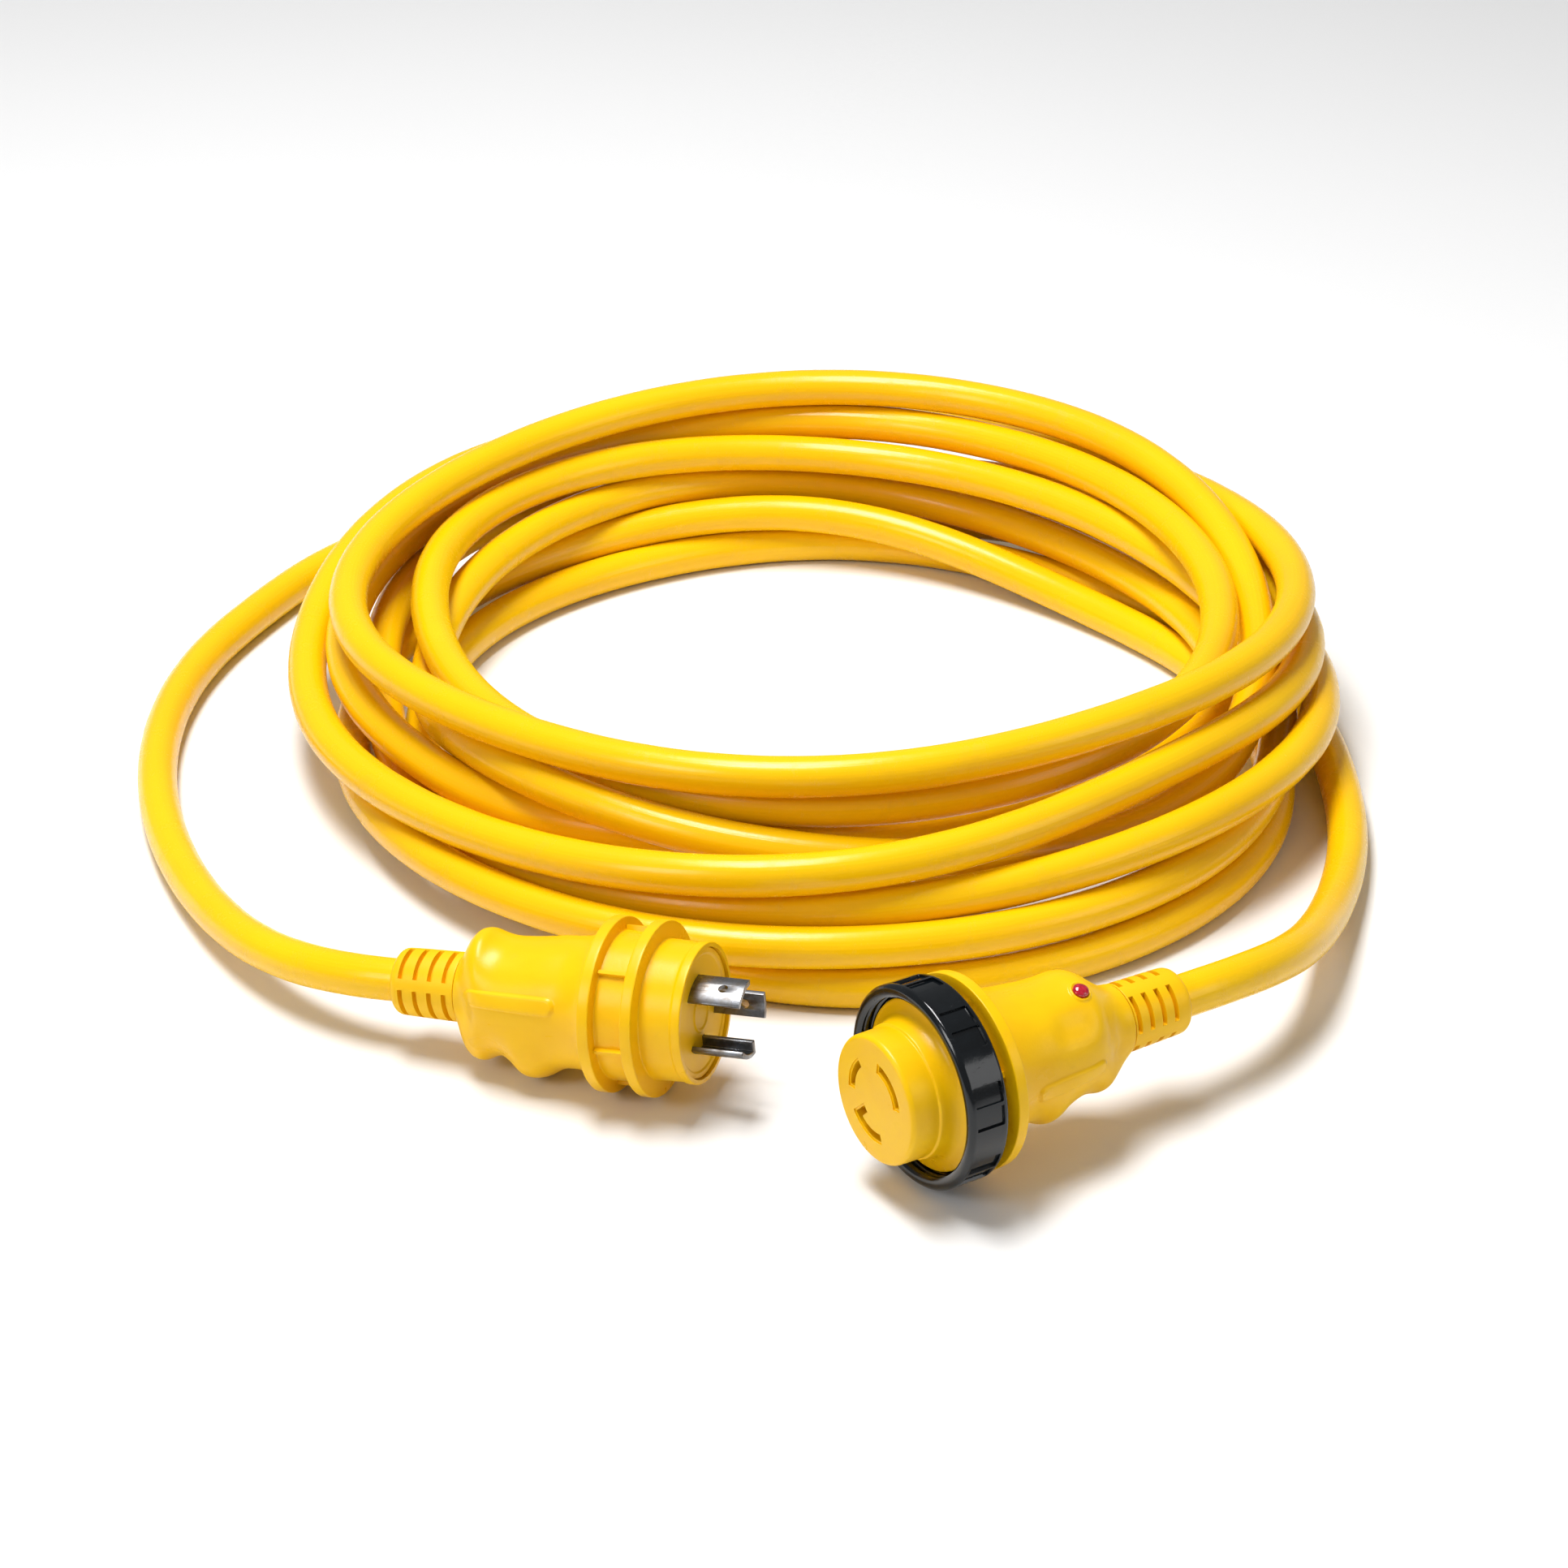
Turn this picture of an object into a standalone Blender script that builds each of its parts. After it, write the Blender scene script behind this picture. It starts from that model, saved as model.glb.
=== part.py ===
"""Shore power cord: a coiled yellow three-wire cord with a locking plug at one end and a locking
connector with a threaded sealing ring at the other.

Metres, +Z up. The plug and the connector lie in front (-Y) of the coil, on the floor at Z = 0, and the
origin is the bottom centre of the box round those two. Each end piece is built in its own frame: local
+Z points out of its mating face, local Z = 0 is that face, and local +Y is as near to up as it can be.
"""
import math

import bmesh
import bpy
from mathutils import Matrix, Vector

MM = 0.001
GAP = 0.3 * MM  # clearance between neighbouring pieces

# ---- driving dimensions ----
CORD_DIAMETER = 15.5 * MM
CORD_RADIUS = CORD_DIAMETER / 2
CORD_HOLE_RADIUS = CORD_RADIUS + GAP

PLUG_FACE = Vector((-0.028, 0.018, 0.0343))
PLUG_AXIS = Vector((0.935, -0.345, 0.084)).normalized()
CONNECTOR_FACE = Vector((0.029, -0.046, 0.0378))
CONNECTOR_AXIS = Vector((-0.840, -0.542, 0)).normalized()

BOOT_LENGTH = 26 * MM
BOOT_RADIUS = 12.4 * MM
BOOT_SPIGOT = 6 * MM  # how far the boot reaches into the grip
JACKET_INSIDE = 40 * MM  # length of cord jacket held inside each end piece
CAVITY_RADIUS = 17.2 * MM
CARRIER_DEPTH = 14.6 * MM

BARREL_RADIUS = 24.7 * MM
FLANGE_RADIUS = 31 * MM  # plug's two finger flanges
NECK_RADIUS = 26.4 * MM  # between the flanges
FACE_RECESS = 2.6 * MM  # how far the blades' face is set back inside the barrel's rim
PLUG_GRIP_END = -90.5 * MM

NOSE_RADIUS = 22.9 * MM
DISH_RADIUS = 30.4 * MM  # flared shoulder behind the nose
REAR_FLANGE_RADIUS = 34.8 * MM
CONNECTOR_GRIP_END = -99.5 * MM
RING_RADIUS = 36 * MM
RING_BORE = 31.5 * MM
RING_FRONT = -14.5 * MM
LIP_RADIUS = 28 * MM  # opening of the ring's rear lip, which sits behind the dish
LIP_LENGTH = 4 * MM
RING_REAR = -30 * MM

BLADE_CIRCLE = 13.4 * MM  # radius of the middle line of the curved blades
BLADE_THICKNESS = 1.8 * MM
BLADE_LENGTH = 17 * MM  # beyond the barrel's rim
NIB_LENGTH = 3.5 * MM  # the ground blade's longer leading end
HOOK_WIDTH = 9  # degrees of the blade circle that the ground blade's hook takes
HOOK_REACH = 3.5 * MM
SLOT_CLEARANCE = 0.35 * MM
LIGHT_Z = -78 * MM
LIGHT_TURN = -21  # degrees from the top of the grip
WIRE_RADIUS = 2.2 * MM
CRIMP_RADIUS = 3.7 * MM
CRIMP_BORE = WIRE_RADIUS + 0.6 * MM

# The three poles. Angles are in degrees, seen looking at the face of the plug or of the connector. A slot is
# wider than its blade by the locking twist, and its place is the blade's, mirrored and turned.
POLES = (
    {"name": "hot", "blade": (-8, 40), "slot": (158, 46), "hook": False},
    {"name": "neutral", "blade": (110, 54), "slot": (48, 64), "hook": False},
    {"name": "ground", "blade": (247, 56), "slot": (253, 62), "hook": True},
)

COIL_CENTRE = Vector((0.008, 0.295, 0))
COIL_OUTER = (0.210, 0.224)  # half widths along X and Y
COIL_INNER = 0.143
COIL_HEIGHT = 0.082
COIL_EDGE = 0.014  # rounding of the coil solid's edges

# Middle line of each uncoiled stretch, from the end piece's boot to the coil
PLUG_TAIL = (
    (-0.165, 0.0715, 0.0212), (-0.190, 0.0965, 0.0158), (-0.214, 0.137, 0.0110), (-0.235, 0.189, 0.0080),
    (-0.248, 0.244, 0.0080), (-0.251, 0.298, 0.0080), (-0.246, 0.342, 0.0080), (-0.237, 0.376, 0.0080),
    (-0.222, 0.408, 0.0080), (-0.208, 0.440, 0.0080), (-0.180, 0.475, 0.0080), (-0.140, 0.500, 0.0080),
    (-0.098, 0.508, 0.0080),
)
CONNECTOR_TAIL = (
    (0.158, 0.0395, 0.0368), (0.175, 0.0605, 0.0315), (0.189, 0.091, 0.0228), (0.201, 0.130, 0.0135),
    (0.211, 0.166, 0.0095), (0.2165, 0.199, 0.0080), (0.2175, 0.234, 0.0080),
)
TAIL_STEP = 2.5 * CORD_DIAMETER

YELLOW = (0.93, 0.62, 0.01)
COLOURS = {  # base colour, roughness, metallic
    "cord_yellow": (YELLOW, 0.38, 0.0),
    "moulded_yellow": (YELLOW, 0.42, 0.0),
    "ring_black": ((0.02, 0.022, 0.024), 0.25, 0.0),
    "blade_metal": ((0.72, 0.66, 0.55), 0.22, 1.0),
    "contact_brass": ((0.75, 0.55, 0.26), 0.3, 1.0),
    "lens_red": ((0.7, 0.01, 0.03), 0.1, 0.0),
    "resistor_blue": ((0.16, 0.3, 0.5), 0.5, 0.0),
    "wire_hot": ((0.03, 0.03, 0.03), 0.5, 0.0),
    "wire_neutral": ((0.85, 0.85, 0.82), 0.5, 0.0),
    "wire_ground": ((0.05, 0.35, 0.12), 0.5, 0.0),
}


# ---- helpers ----
def clear_scene():
    for old in list(bpy.data.objects):
        bpy.data.objects.remove(old, do_unlink=True)


def material(name):
    made = bpy.data.materials.get(name) or bpy.data.materials.new(name)
    made.use_nodes = True
    colour, roughness, metallic = COLOURS[name]
    shader = made.node_tree.nodes["Principled BSDF"]
    shader.inputs["Base Color"].default_value = (*colour, 1)
    shader.inputs["Roughness"].default_value = roughness
    shader.inputs["Metallic"].default_value = metallic
    return made


def frame_at(origin, axis):
    """An empty at origin whose +Z is axis and whose +Y is as near to up as it can be."""
    across = Vector((0, 0, 1)).cross(axis).normalized()
    up = axis.cross(across)
    turn = Matrix((across, up, axis)).transposed().to_4x4()
    empty = bpy.data.objects.new("frame", None)
    empty.matrix_world = Matrix.Translation(origin) @ turn
    bpy.context.collection.objects.link(empty)
    return empty


def add_object(name, bm, material_name, parent=None, smooth_angle=35):
    mesh = bpy.data.meshes.new(name)
    bmesh.ops.recalc_face_normals(bm, faces=bm.faces)
    bm.to_mesh(mesh)
    bm.free()
    mesh.shade_smooth()
    mesh.set_sharp_from_angle(angle=math.radians(smooth_angle))
    made = bpy.data.objects.new(name, mesh)
    made.data.materials.append(material(material_name))
    made.parent = parent
    bpy.context.collection.objects.link(made)
    return made


def ring_of_points(bm, z, radius, sides, reach=None):
    """A loop of points round local Z; reach(angle) scales the radius."""
    loop = []
    for i in range(sides):
        angle = 2 * math.pi * i / sides
        r = radius * (reach(angle) if reach else 1)
        loop.append(bm.verts.new((r * math.cos(angle), r * math.sin(angle), z)))
    return loop


def bridge(bm, first, second):
    count = len(first)
    for i in range(count):
        j = (i + 1) % count
        bm.faces.new((first[i], first[j], second[j], second[i]))


def turned(bm, profile, sides, reaches=None):
    """Turn a closed (z, radius) profile round local Z. A radius of 0 at both ends makes a solid bar."""
    solid = profile[0][1] == 0
    rings = []
    for k, (z, radius) in enumerate(profile):
        if radius == 0:
            continue
        rings.append(ring_of_points(bm, z, radius, sides, reaches[k] if reaches else None))
    for first, second in zip(rings, rings[1:]):
        bridge(bm, first, second)
    if solid:
        bm.faces.new(rings[0])
        bm.faces.new(rings[-1])
    else:
        bridge(bm, rings[-1], rings[0])


def turned_object(name, profile, sides, material_name, parent):
    bm = bmesh.new()
    turned(bm, profile, sides)
    return add_object(name, bm, material_name, parent)


def cut(target, cutter):
    """Subtract cutter from target with a Boolean modifier, and keep the cutter out of the model."""
    cutter.hide_render = True
    cutter.display_type = "WIRE"
    modifier = target.modifiers.new("cut", "BOOLEAN")
    modifier.operation = "DIFFERENCE"
    modifier.solver = "EXACT"
    modifier.object = cutter


def smooth_route(points, step):
    """Points read at equal steps from a Catmull-Rom curve through the given points."""
    nodes = [Vector(p) for p in points]
    nodes = [2 * nodes[0] - nodes[1]] + nodes + [2 * nodes[-1] - nodes[-2]]
    dense = []
    for a, b, c, d in zip(nodes, nodes[1:], nodes[2:], nodes[3:]):
        for k in range(20):
            t = k / 20
            dense.append(
                0.5 * (2 * b + (c - a) * t + (2 * a - 5 * b + 4 * c - d) * t**2 + (3 * b - a - 3 * c + d) * t**3)
            )
    dense.append(nodes[-2])
    length = sum((q - p).length for p, q in zip(dense, dense[1:]))
    count = max(2, round(length / step))
    wanted = [length * k / count for k in range(count + 1)]
    route = [dense[0]]
    run = 0
    for p, q in zip(dense, dense[1:]):
        piece = (q - p).length
        while len(route) < count and run + piece >= wanted[len(route)]:
            route.append(p.lerp(q, (wanted[len(route)] - run) / piece))
        run += piece
    route.append(dense[-1])
    return route


def tube(name, points, radius, material_name, parent=None, resolution=2):
    curve = bpy.data.curves.new(name, "CURVE")
    curve.dimensions = "3D"
    curve.bevel_depth = radius
    curve.bevel_resolution = resolution
    curve.use_fill_caps = True
    spline = curve.splines.new("POLY")
    spline.points.add(len(points) - 1)
    for point, place in zip(spline.points, points):
        point.co = (*place, 1)
    made = bpy.data.objects.new(name, curve)
    made.data.materials.append(material(material_name))
    made.parent = parent
    bpy.context.collection.objects.link(made)
    return made


# ---- parts that the plug and the connector share ----
def grip_shell(name, outside, underside, front_depth, front_radius, grip_end, parent):
    """Overmould: a turned shell with finger swells underneath, open at the front and at the cord."""
    sides = 32

    def swell(extra):
        def reach(angle):
            down = max(0.0, -math.sin(angle))
            return 1 + extra * down**2

        return reach

    bore = [
        (grip_end, BOOT_RADIUS - 1.2 * MM),
        (grip_end + BOOT_SPIGOT + GAP, BOOT_RADIUS - 1.2 * MM),
        (grip_end + BOOT_SPIGOT + GAP, CORD_HOLE_RADIUS),
        (grip_end + 14 * MM, CORD_HOLE_RADIUS),
        (grip_end + 20 * MM, CAVITY_RADIUS),
        (-front_depth, CAVITY_RADIUS),
        (-front_depth, front_radius),
    ]
    mouth = [(outside[0][0], front_radius)]
    profile = outside + bore + mouth
    reaches = [swell(extra) for extra in underside] + [swell(0)] * (len(bore) + len(mouth))
    bm = bmesh.new()
    turned(bm, profile, sides, reaches)
    return add_object(name, bm, "moulded_yellow", parent)


def strain_relief(name, grip_end, parent):
    """Boot: a sleeve with four rows of flex grooves, with a thinner spigot inside the grip."""
    groove = 1.6 * MM
    pitch = BOOT_LENGTH / 5.2
    rear = grip_end - BOOT_LENGTH
    profile = [(grip_end + BOOT_SPIGOT, BOOT_RADIUS - 1.5 * MM), (grip_end - GAP, BOOT_RADIUS - 1.5 * MM)]
    profile.append((grip_end - GAP, BOOT_RADIUS + 0.4 * MM))
    for row in range(4):
        z = grip_end - (row + 0.9) * pitch
        profile += [(z, BOOT_RADIUS), (z, BOOT_RADIUS - 2 * MM)]
        profile += [(z - groove, BOOT_RADIUS - 2 * MM), (z - groove, BOOT_RADIUS)]
    profile += [(rear + 1 * MM, BOOT_RADIUS - 0.3 * MM), (rear, BOOT_RADIUS - 1.5 * MM)]
    profile += [(rear, CORD_HOLE_RADIUS), (grip_end + BOOT_SPIGOT, CORD_HOLE_RADIUS)]
    return turned_object(name, profile, 24, "moulded_yellow", parent)


def arc_strip(bm, place, side, hook, z, grow, columns=5):
    """Flat strip in the plane z along a blade's curved section; returns its faces, the hook's end first.

    side is 1 to have the hook at the end with the smaller angle, -1 for the other end.
    """
    angle, width = place
    half = BLADE_THICKNESS / 2 + grow
    spread = math.degrees(grow / BLADE_CIRCLE)
    start = -width / 2 - spread
    hook_end = -width / 2 + HOOK_WIDTH + spread
    end = width / 2 + spread
    stops = [start] + [hook_end + (end - hook_end) * k / columns for k in range(columns + 1)]
    rows = []
    for stop in stops:
        turn = math.radians(angle + side * stop)
        direction = Vector((math.cos(turn), math.sin(turn), 0))
        low = Vector((0, 0, z))
        inner = bm.verts.new(direction * (BLADE_CIRCLE - half) + low)
        outer = bm.verts.new(direction * (BLADE_CIRCLE + half) + low)
        rows.append((inner, outer))
    faces = [bm.faces.new((a, b, d, c)) for (a, b), (c, d) in zip(rows, rows[1:])]
    if hook:
        near, far = rows[0][0], rows[1][0]
        inward = -(near.co + far.co)
        inward.z = 0
        inward = inward.normalized() * (HOOK_REACH + grow)
        faces.append(bm.faces.new((near, far, bm.verts.new(far.co + inward), bm.verts.new(near.co + inward))))
    return faces


def raise_faces(bm, faces, height, keep):
    """Extrude faces upwards; keep says whether they stay as the floor of what is raised."""
    grown = bmesh.ops.extrude_face_region(bm, geom=faces, use_keep_orig=keep)["geom"]
    lifted = [g for g in grown if isinstance(g, bmesh.types.BMVert)]
    bmesh.ops.translate(bm, verts=lifted, vec=(0, 0, height))
    if not keep:
        bmesh.ops.delete(bm, geom=[f for f in faces if f.is_valid], context="FACES_ONLY")
    return [g for g in grown if isinstance(g, bmesh.types.BMFace)]


def curved_bar(name, place, side, hook, low, high, material_name, parent, grow=0.0, nib=0.0):
    """A bar with a blade's section from low to high; nib is how much longer the outer part of the tip is."""
    bm = bmesh.new()
    base = arc_strip(bm, place, side, hook, low, grow)
    top = raise_faces(bm, base, high - low, keep=True)
    if nib:
        outer = [face for face in top if face.calc_center_median().xy.length > BLADE_CIRCLE - BLADE_THICKNESS]
        raise_faces(bm, outer, nib, keep=False)
    return add_object(name, bm, material_name, parent)


def pole_point(place, radius, z):
    angle = math.radians(place[0])
    return Vector((radius * math.cos(angle), radius * math.sin(angle), z))


def crimp(name, place, low, high, parent):
    """Crimp terminal: a short barrel, closed in front and open to the wire at the back."""
    centre = pole_point(place, BLADE_CIRCLE, 0)
    wall_end = high - 2 * MM
    profile = [(high, 0), (high, CRIMP_RADIUS), (low, CRIMP_RADIUS), (low, CRIMP_BORE)]
    profile += [(wall_end, CRIMP_BORE), (wall_end, 0)]
    bm = bmesh.new()
    turned(bm, profile, 16)
    bmesh.ops.translate(bm, verts=bm.verts, vec=centre)
    return add_object(name, bm, "contact_brass", parent)


def wire(prefix, pole_name, place, terminal_z, jacket_z, parent):
    """Insulated conductor from the cord jacket's end to its crimp terminal."""
    start = pole_point(place, 3.6 * MM, jacket_z)
    end = pole_point(place, BLADE_CIRCLE, terminal_z)
    run = end.z - start.z
    route = [start, start + Vector((0, 0, 0.25 * run)), end - Vector((0, 0, 0.35 * run)), end]
    name = prefix + "_" + pole_name + "_wire"
    tube(name, smooth_route(route, 4 * MM), WIRE_RADIUS, "wire_" + pole_name, parent)


def jacket_end(name, grip_end, parent):
    """The stretch of cord jacket that the boot and the grip hold."""
    rear = grip_end - BOOT_LENGTH + GAP
    profile = [(rear, 0), (rear, CORD_RADIUS), (rear + JACKET_INSIDE, CORD_RADIUS), (rear + JACKET_INSIDE, 0)]
    turned_object(name, profile, 20, "cord_yellow", parent)
    return rear + JACKET_INSIDE


# ---- plug ----
def make_plug():
    frame = frame_at(PLUG_FACE, PLUG_AXIS)
    barrel, flange, neck = BARREL_RADIUS / MM, FLANGE_RADIUS / MM, NECK_RADIUS / MM
    outside = [  # millimetres (z, radius) from the barrel's rim back to the boot
        (0, barrel - 0.5), (-0.8, barrel + 0.2), (-3.2, barrel + 0.2), (-3.8, barrel - 0.3), (-15.4, barrel),
        (-15.6, flange - 0.8), (-16.4, flange), (-18.8, flange), (-19.6, flange - 0.6),
        (-19.8, neck - 0.2), (-31.2, neck), (-31.4, flange - 0.7), (-32.2, flange), (-34.8, flange),
        (-35.6, flange - 0.8), (-37, 25.6), (-42, 23.6), (-48, 22.8), (-54, 22.6), (-60, 22.4), (-66, 22.4),
        (-72, 21.8), (-77, 21.2), (-82, 22.2), (-86, 21.6), (-89.2, 18.6), (-90.5, 14.6),
    ]
    swells = {-42: 0.06, -48: 0.06, -54: 0.12, -60: 0.25, -66: 0.27, -72: 0.12, -77: 0.01, -82: 0.03, -86: 0.04}
    outside_m = [(z * MM, radius * MM) for z, radius in outside]
    underside = [swells.get(z, 0.0) for z, _ in outside]
    bore_radius = BARREL_RADIUS - 1.5 * MM
    grip_shell("plug_body", outside_m, underside, CARRIER_DEPTH + GAP, bore_radius, PLUG_GRIP_END, frame)
    strain_relief("plug_strain_relief", PLUG_GRIP_END, frame)

    profile = [(-FACE_RECESS, 0), (-FACE_RECESS, bore_radius - GAP)]
    profile += [(-CARRIER_DEPTH, bore_radius - GAP), (-CARRIER_DEPTH, 0)]
    carrier = turned_object("plug_blade_carrier", profile, 32, "moulded_yellow", frame)
    jacket_z = jacket_end("plug_jacket_end", PLUG_GRIP_END, frame)
    root = -CARRIER_DEPTH - 4 * MM
    crimp_back = root - GAP - 10 * MM
    for pole in POLES:
        place, hook = pole["blade"], pole["hook"]
        cut(carrier, curved_bar("slot", place, -1, hook, root - MM, MM, "blade_metal", frame, grow=GAP))
        nib = NIB_LENGTH if hook else 0
        curved_bar(
            pole["name"] + "_blade", place, -1, hook, root, BLADE_LENGTH - nib, "blade_metal", frame, nib=nib
        )
        crimp("plug_" + pole["name"] + "_crimp", place, crimp_back, root - GAP, frame)
        wire("plug", pole["name"], place, crimp_back + 6 * MM, jacket_z + GAP, frame)


# ---- connector ----
def make_connector():
    frame = frame_at(CONNECTOR_FACE, CONNECTOR_AXIS)
    rear_flange, dish, nose = REAR_FLANGE_RADIUS / MM, DISH_RADIUS / MM, NOSE_RADIUS / MM
    outside = [  # millimetres (z, radius) from behind the dish back to the boot
        (-22.4, 26.6), (-34.3, 26.8), (-34.5, rear_flange - 0.6), (-35.3, rear_flange), (-37.9, rear_flange),
        (-38.7, rear_flange - 0.8), (-40.2, 28.4), (-44, 26.2), (-49, 25), (-55, 24.2), (-61, 23.4), (-67, 22.8),
        (-74, 22.2), (-81, 21.6), (-88, 21.2), (-92, 19.5), (-95, 17.4), (-98, 15), (-99.5, 13.6),
    ]
    swells = {-49: 0.02, -55: 0.04, -61: 0.13, -67: 0.08, -74: 0.01, -81: 0.01, -88: 0.04, -92: 0.03}
    outside_m = [(z * MM, radius * MM) for z, radius in outside]
    underside = [swells.get(z, 0.0) for z, _ in outside]
    spigot_radius = 21.5
    spigot_end = -36
    body = grip_shell(
        "connector_body", outside_m, underside, -spigot_end * MM + GAP, spigot_radius * MM + GAP,
        CONNECTOR_GRIP_END, frame,
    )
    strain_relief("connector_strain_relief", CONNECTOR_GRIP_END, frame)

    outline = [  # millimetres (z, radius): face, nose, flared dish, spigot inside the grip
        (0, 0), (0, nose - 1.4), (-0.6, nose - 0.5), (-1.6, nose), (-10.6, nose + 0.1), (-10.9, nose + 0.7),
        (-15.4, nose + 1), (-17.4, nose + 2.2), (-18.6, dish - 2.2), (-19, dish), (-22, dish),
        (-22, spigot_radius), (spigot_end, spigot_radius), (spigot_end, 0),
    ]
    outline_m = [(z * MM, radius * MM) for z, radius in outline]
    nose_solid = turned_object("connector_nose", outline_m, 32, "moulded_yellow", frame)
    jacket_z = jacket_end("connector_jacket_end", CONNECTOR_GRIP_END, frame)
    contact_front = -26 * MM
    contact_back = -40 * MM
    crimp_back = contact_back - GAP - 10 * MM
    for pole in POLES:
        place, hook = pole["slot"], pole["hook"]
        slot_low = spigot_end * MM - MM
        cut(nose_solid, curved_bar("slot", place, 1, hook, slot_low, MM, "blade_metal", frame, SLOT_CLEARANCE))
        curved_bar(
            pole["name"] + "_contact", place, 1, hook, contact_back, contact_front, "contact_brass", frame,
            grow=SLOT_CLEARANCE - GAP,
        )
        crimp("connector_" + pole["name"] + "_crimp", place, crimp_back, contact_back - GAP, frame)
        wire("connector", pole["name"], place, crimp_back + 6 * MM, jacket_z + GAP, frame)

    make_sealing_ring(frame)
    make_power_light(frame, body)


def make_sealing_ring(frame):
    """Threaded ring, loose round the nose: a rear lip behind the dish keeps it on."""
    profile = [(RING_FRONT, RING_RADIUS - 1.5 * MM), (RING_FRONT - 1.5 * MM, RING_RADIUS)]
    profile += [(RING_REAR + MM, RING_RADIUS), (RING_REAR, RING_RADIUS - 0.9 * MM)]
    profile += [(RING_REAR, LIP_RADIUS), (RING_REAR + LIP_LENGTH, LIP_RADIUS), (RING_REAR + LIP_LENGTH, RING_BORE)]
    thread_pitch = 3 * MM
    for turn in range(3):
        z = RING_REAR + LIP_LENGTH + 1 * MM + turn * thread_pitch
        profile += [(z, RING_BORE), (z + thread_pitch / 2, RING_BORE + 1.2 * MM)]
    profile += [(RING_FRONT - 1 * MM, RING_BORE), (RING_FRONT, RING_BORE + 0.8 * MM)]
    turned_object("sealing_ring", profile, 36, "ring_black", frame)


def make_power_light(frame, body):
    """Red lens set into the upper side of the grip, with the light's resistor below it."""
    tilt = Matrix.Rotation(math.radians(LIGHT_TURN), 3, "Z") @ Matrix.Rotation(math.radians(-90), 3, "X")
    hole_radius = 2.8 * MM
    hole = bmesh.new()
    turned(hole, [(12 * MM, 0), (12 * MM, hole_radius), (26 * MM, hole_radius), (26 * MM, 0)], 20)
    lens = bmesh.new()
    base, brim, top = 16 * MM, 21.5 * MM, 22.9 * MM
    lens_radius = hole_radius - 0.4 * MM
    dome = [(brim, lens_radius), (brim + 0.9 * MM, lens_radius - 0.4 * MM), (top, lens_radius / 2), (top, 0)]
    turned(lens, [(base, 0), (base, lens_radius)] + dome, 20)
    for bm in (hole, lens):
        bmesh.ops.rotate(bm, verts=bm.verts, matrix=tilt)
        bmesh.ops.translate(bm, verts=bm.verts, vec=(0, 0, LIGHT_Z))
    cut(body, add_object("light_hole", hole, "lens_red", frame))
    add_object("power_light_lens", lens, "lens_red", frame)

    height = 11 * MM
    ends = [Vector((0, height, LIGHT_Z + 4 * MM)), Vector((0, height, LIGHT_Z + 12 * MM))]
    tube("power_light_resistor", ends, 1.2 * MM, "resistor_blue", frame)


# ---- cord ----
def make_coil():
    """The outer shape of the wound coil: an oval ring with rounded edges and a flat bottom."""
    around = 60
    bm = bmesh.new()
    loops = []
    for i in range(around):
        angle = 2 * math.pi * i / around
        direction = Vector((math.cos(angle), math.sin(angle), 0))
        outer = 1 / math.hypot(direction.x / COIL_OUTER[0], direction.y / COIL_OUTER[1])
        corners = [
            (COIL_INNER, COIL_EDGE), (COIL_INNER + 0.3 * COIL_EDGE, 0.3 * COIL_EDGE), (COIL_INNER + COIL_EDGE, 0),
            (outer - COIL_EDGE, 0), (outer - 0.3 * COIL_EDGE, 0.3 * COIL_EDGE), (outer, COIL_EDGE),
            (outer, COIL_HEIGHT - COIL_EDGE), (outer - 0.3 * COIL_EDGE, COIL_HEIGHT - 0.3 * COIL_EDGE),
            (outer - COIL_EDGE, COIL_HEIGHT), (COIL_INNER + COIL_EDGE, COIL_HEIGHT),
            (COIL_INNER + 0.3 * COIL_EDGE, COIL_HEIGHT - 0.3 * COIL_EDGE), (COIL_INNER, COIL_HEIGHT - COIL_EDGE),
        ]
        loops.append([bm.verts.new(COIL_CENTRE + direction * r + Vector((0, 0, z))) for r, z in corners])
    for first, second in zip(loops, loops[1:] + loops[:1]):
        bridge(bm, first, second)
    add_object("cord_coil", bm, "cord_yellow", smooth_angle=50)


def make_tail(name, face, axis, grip_end, points):
    exit_point = face + axis * (grip_end - BOOT_LENGTH - GAP)
    straight = face + axis * (grip_end - BOOT_LENGTH - 12 * MM)
    route = [exit_point] + smooth_route([straight] + list(points), TAIL_STEP)
    tube(name, route, CORD_RADIUS, "cord_yellow", resolution=3)


clear_scene()
make_plug()
make_connector()
make_coil()
make_tail("cord_tail_plug", PLUG_FACE, PLUG_AXIS, PLUG_GRIP_END, PLUG_TAIL)
make_tail("cord_tail_connector", CONNECTOR_FACE, CONNECTOR_AXIS, CONNECTOR_GRIP_END, CONNECTOR_TAIL)
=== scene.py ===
import math

import bmesh
import bpy
import numpy as np
from mathutils import Matrix, Vector


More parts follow.
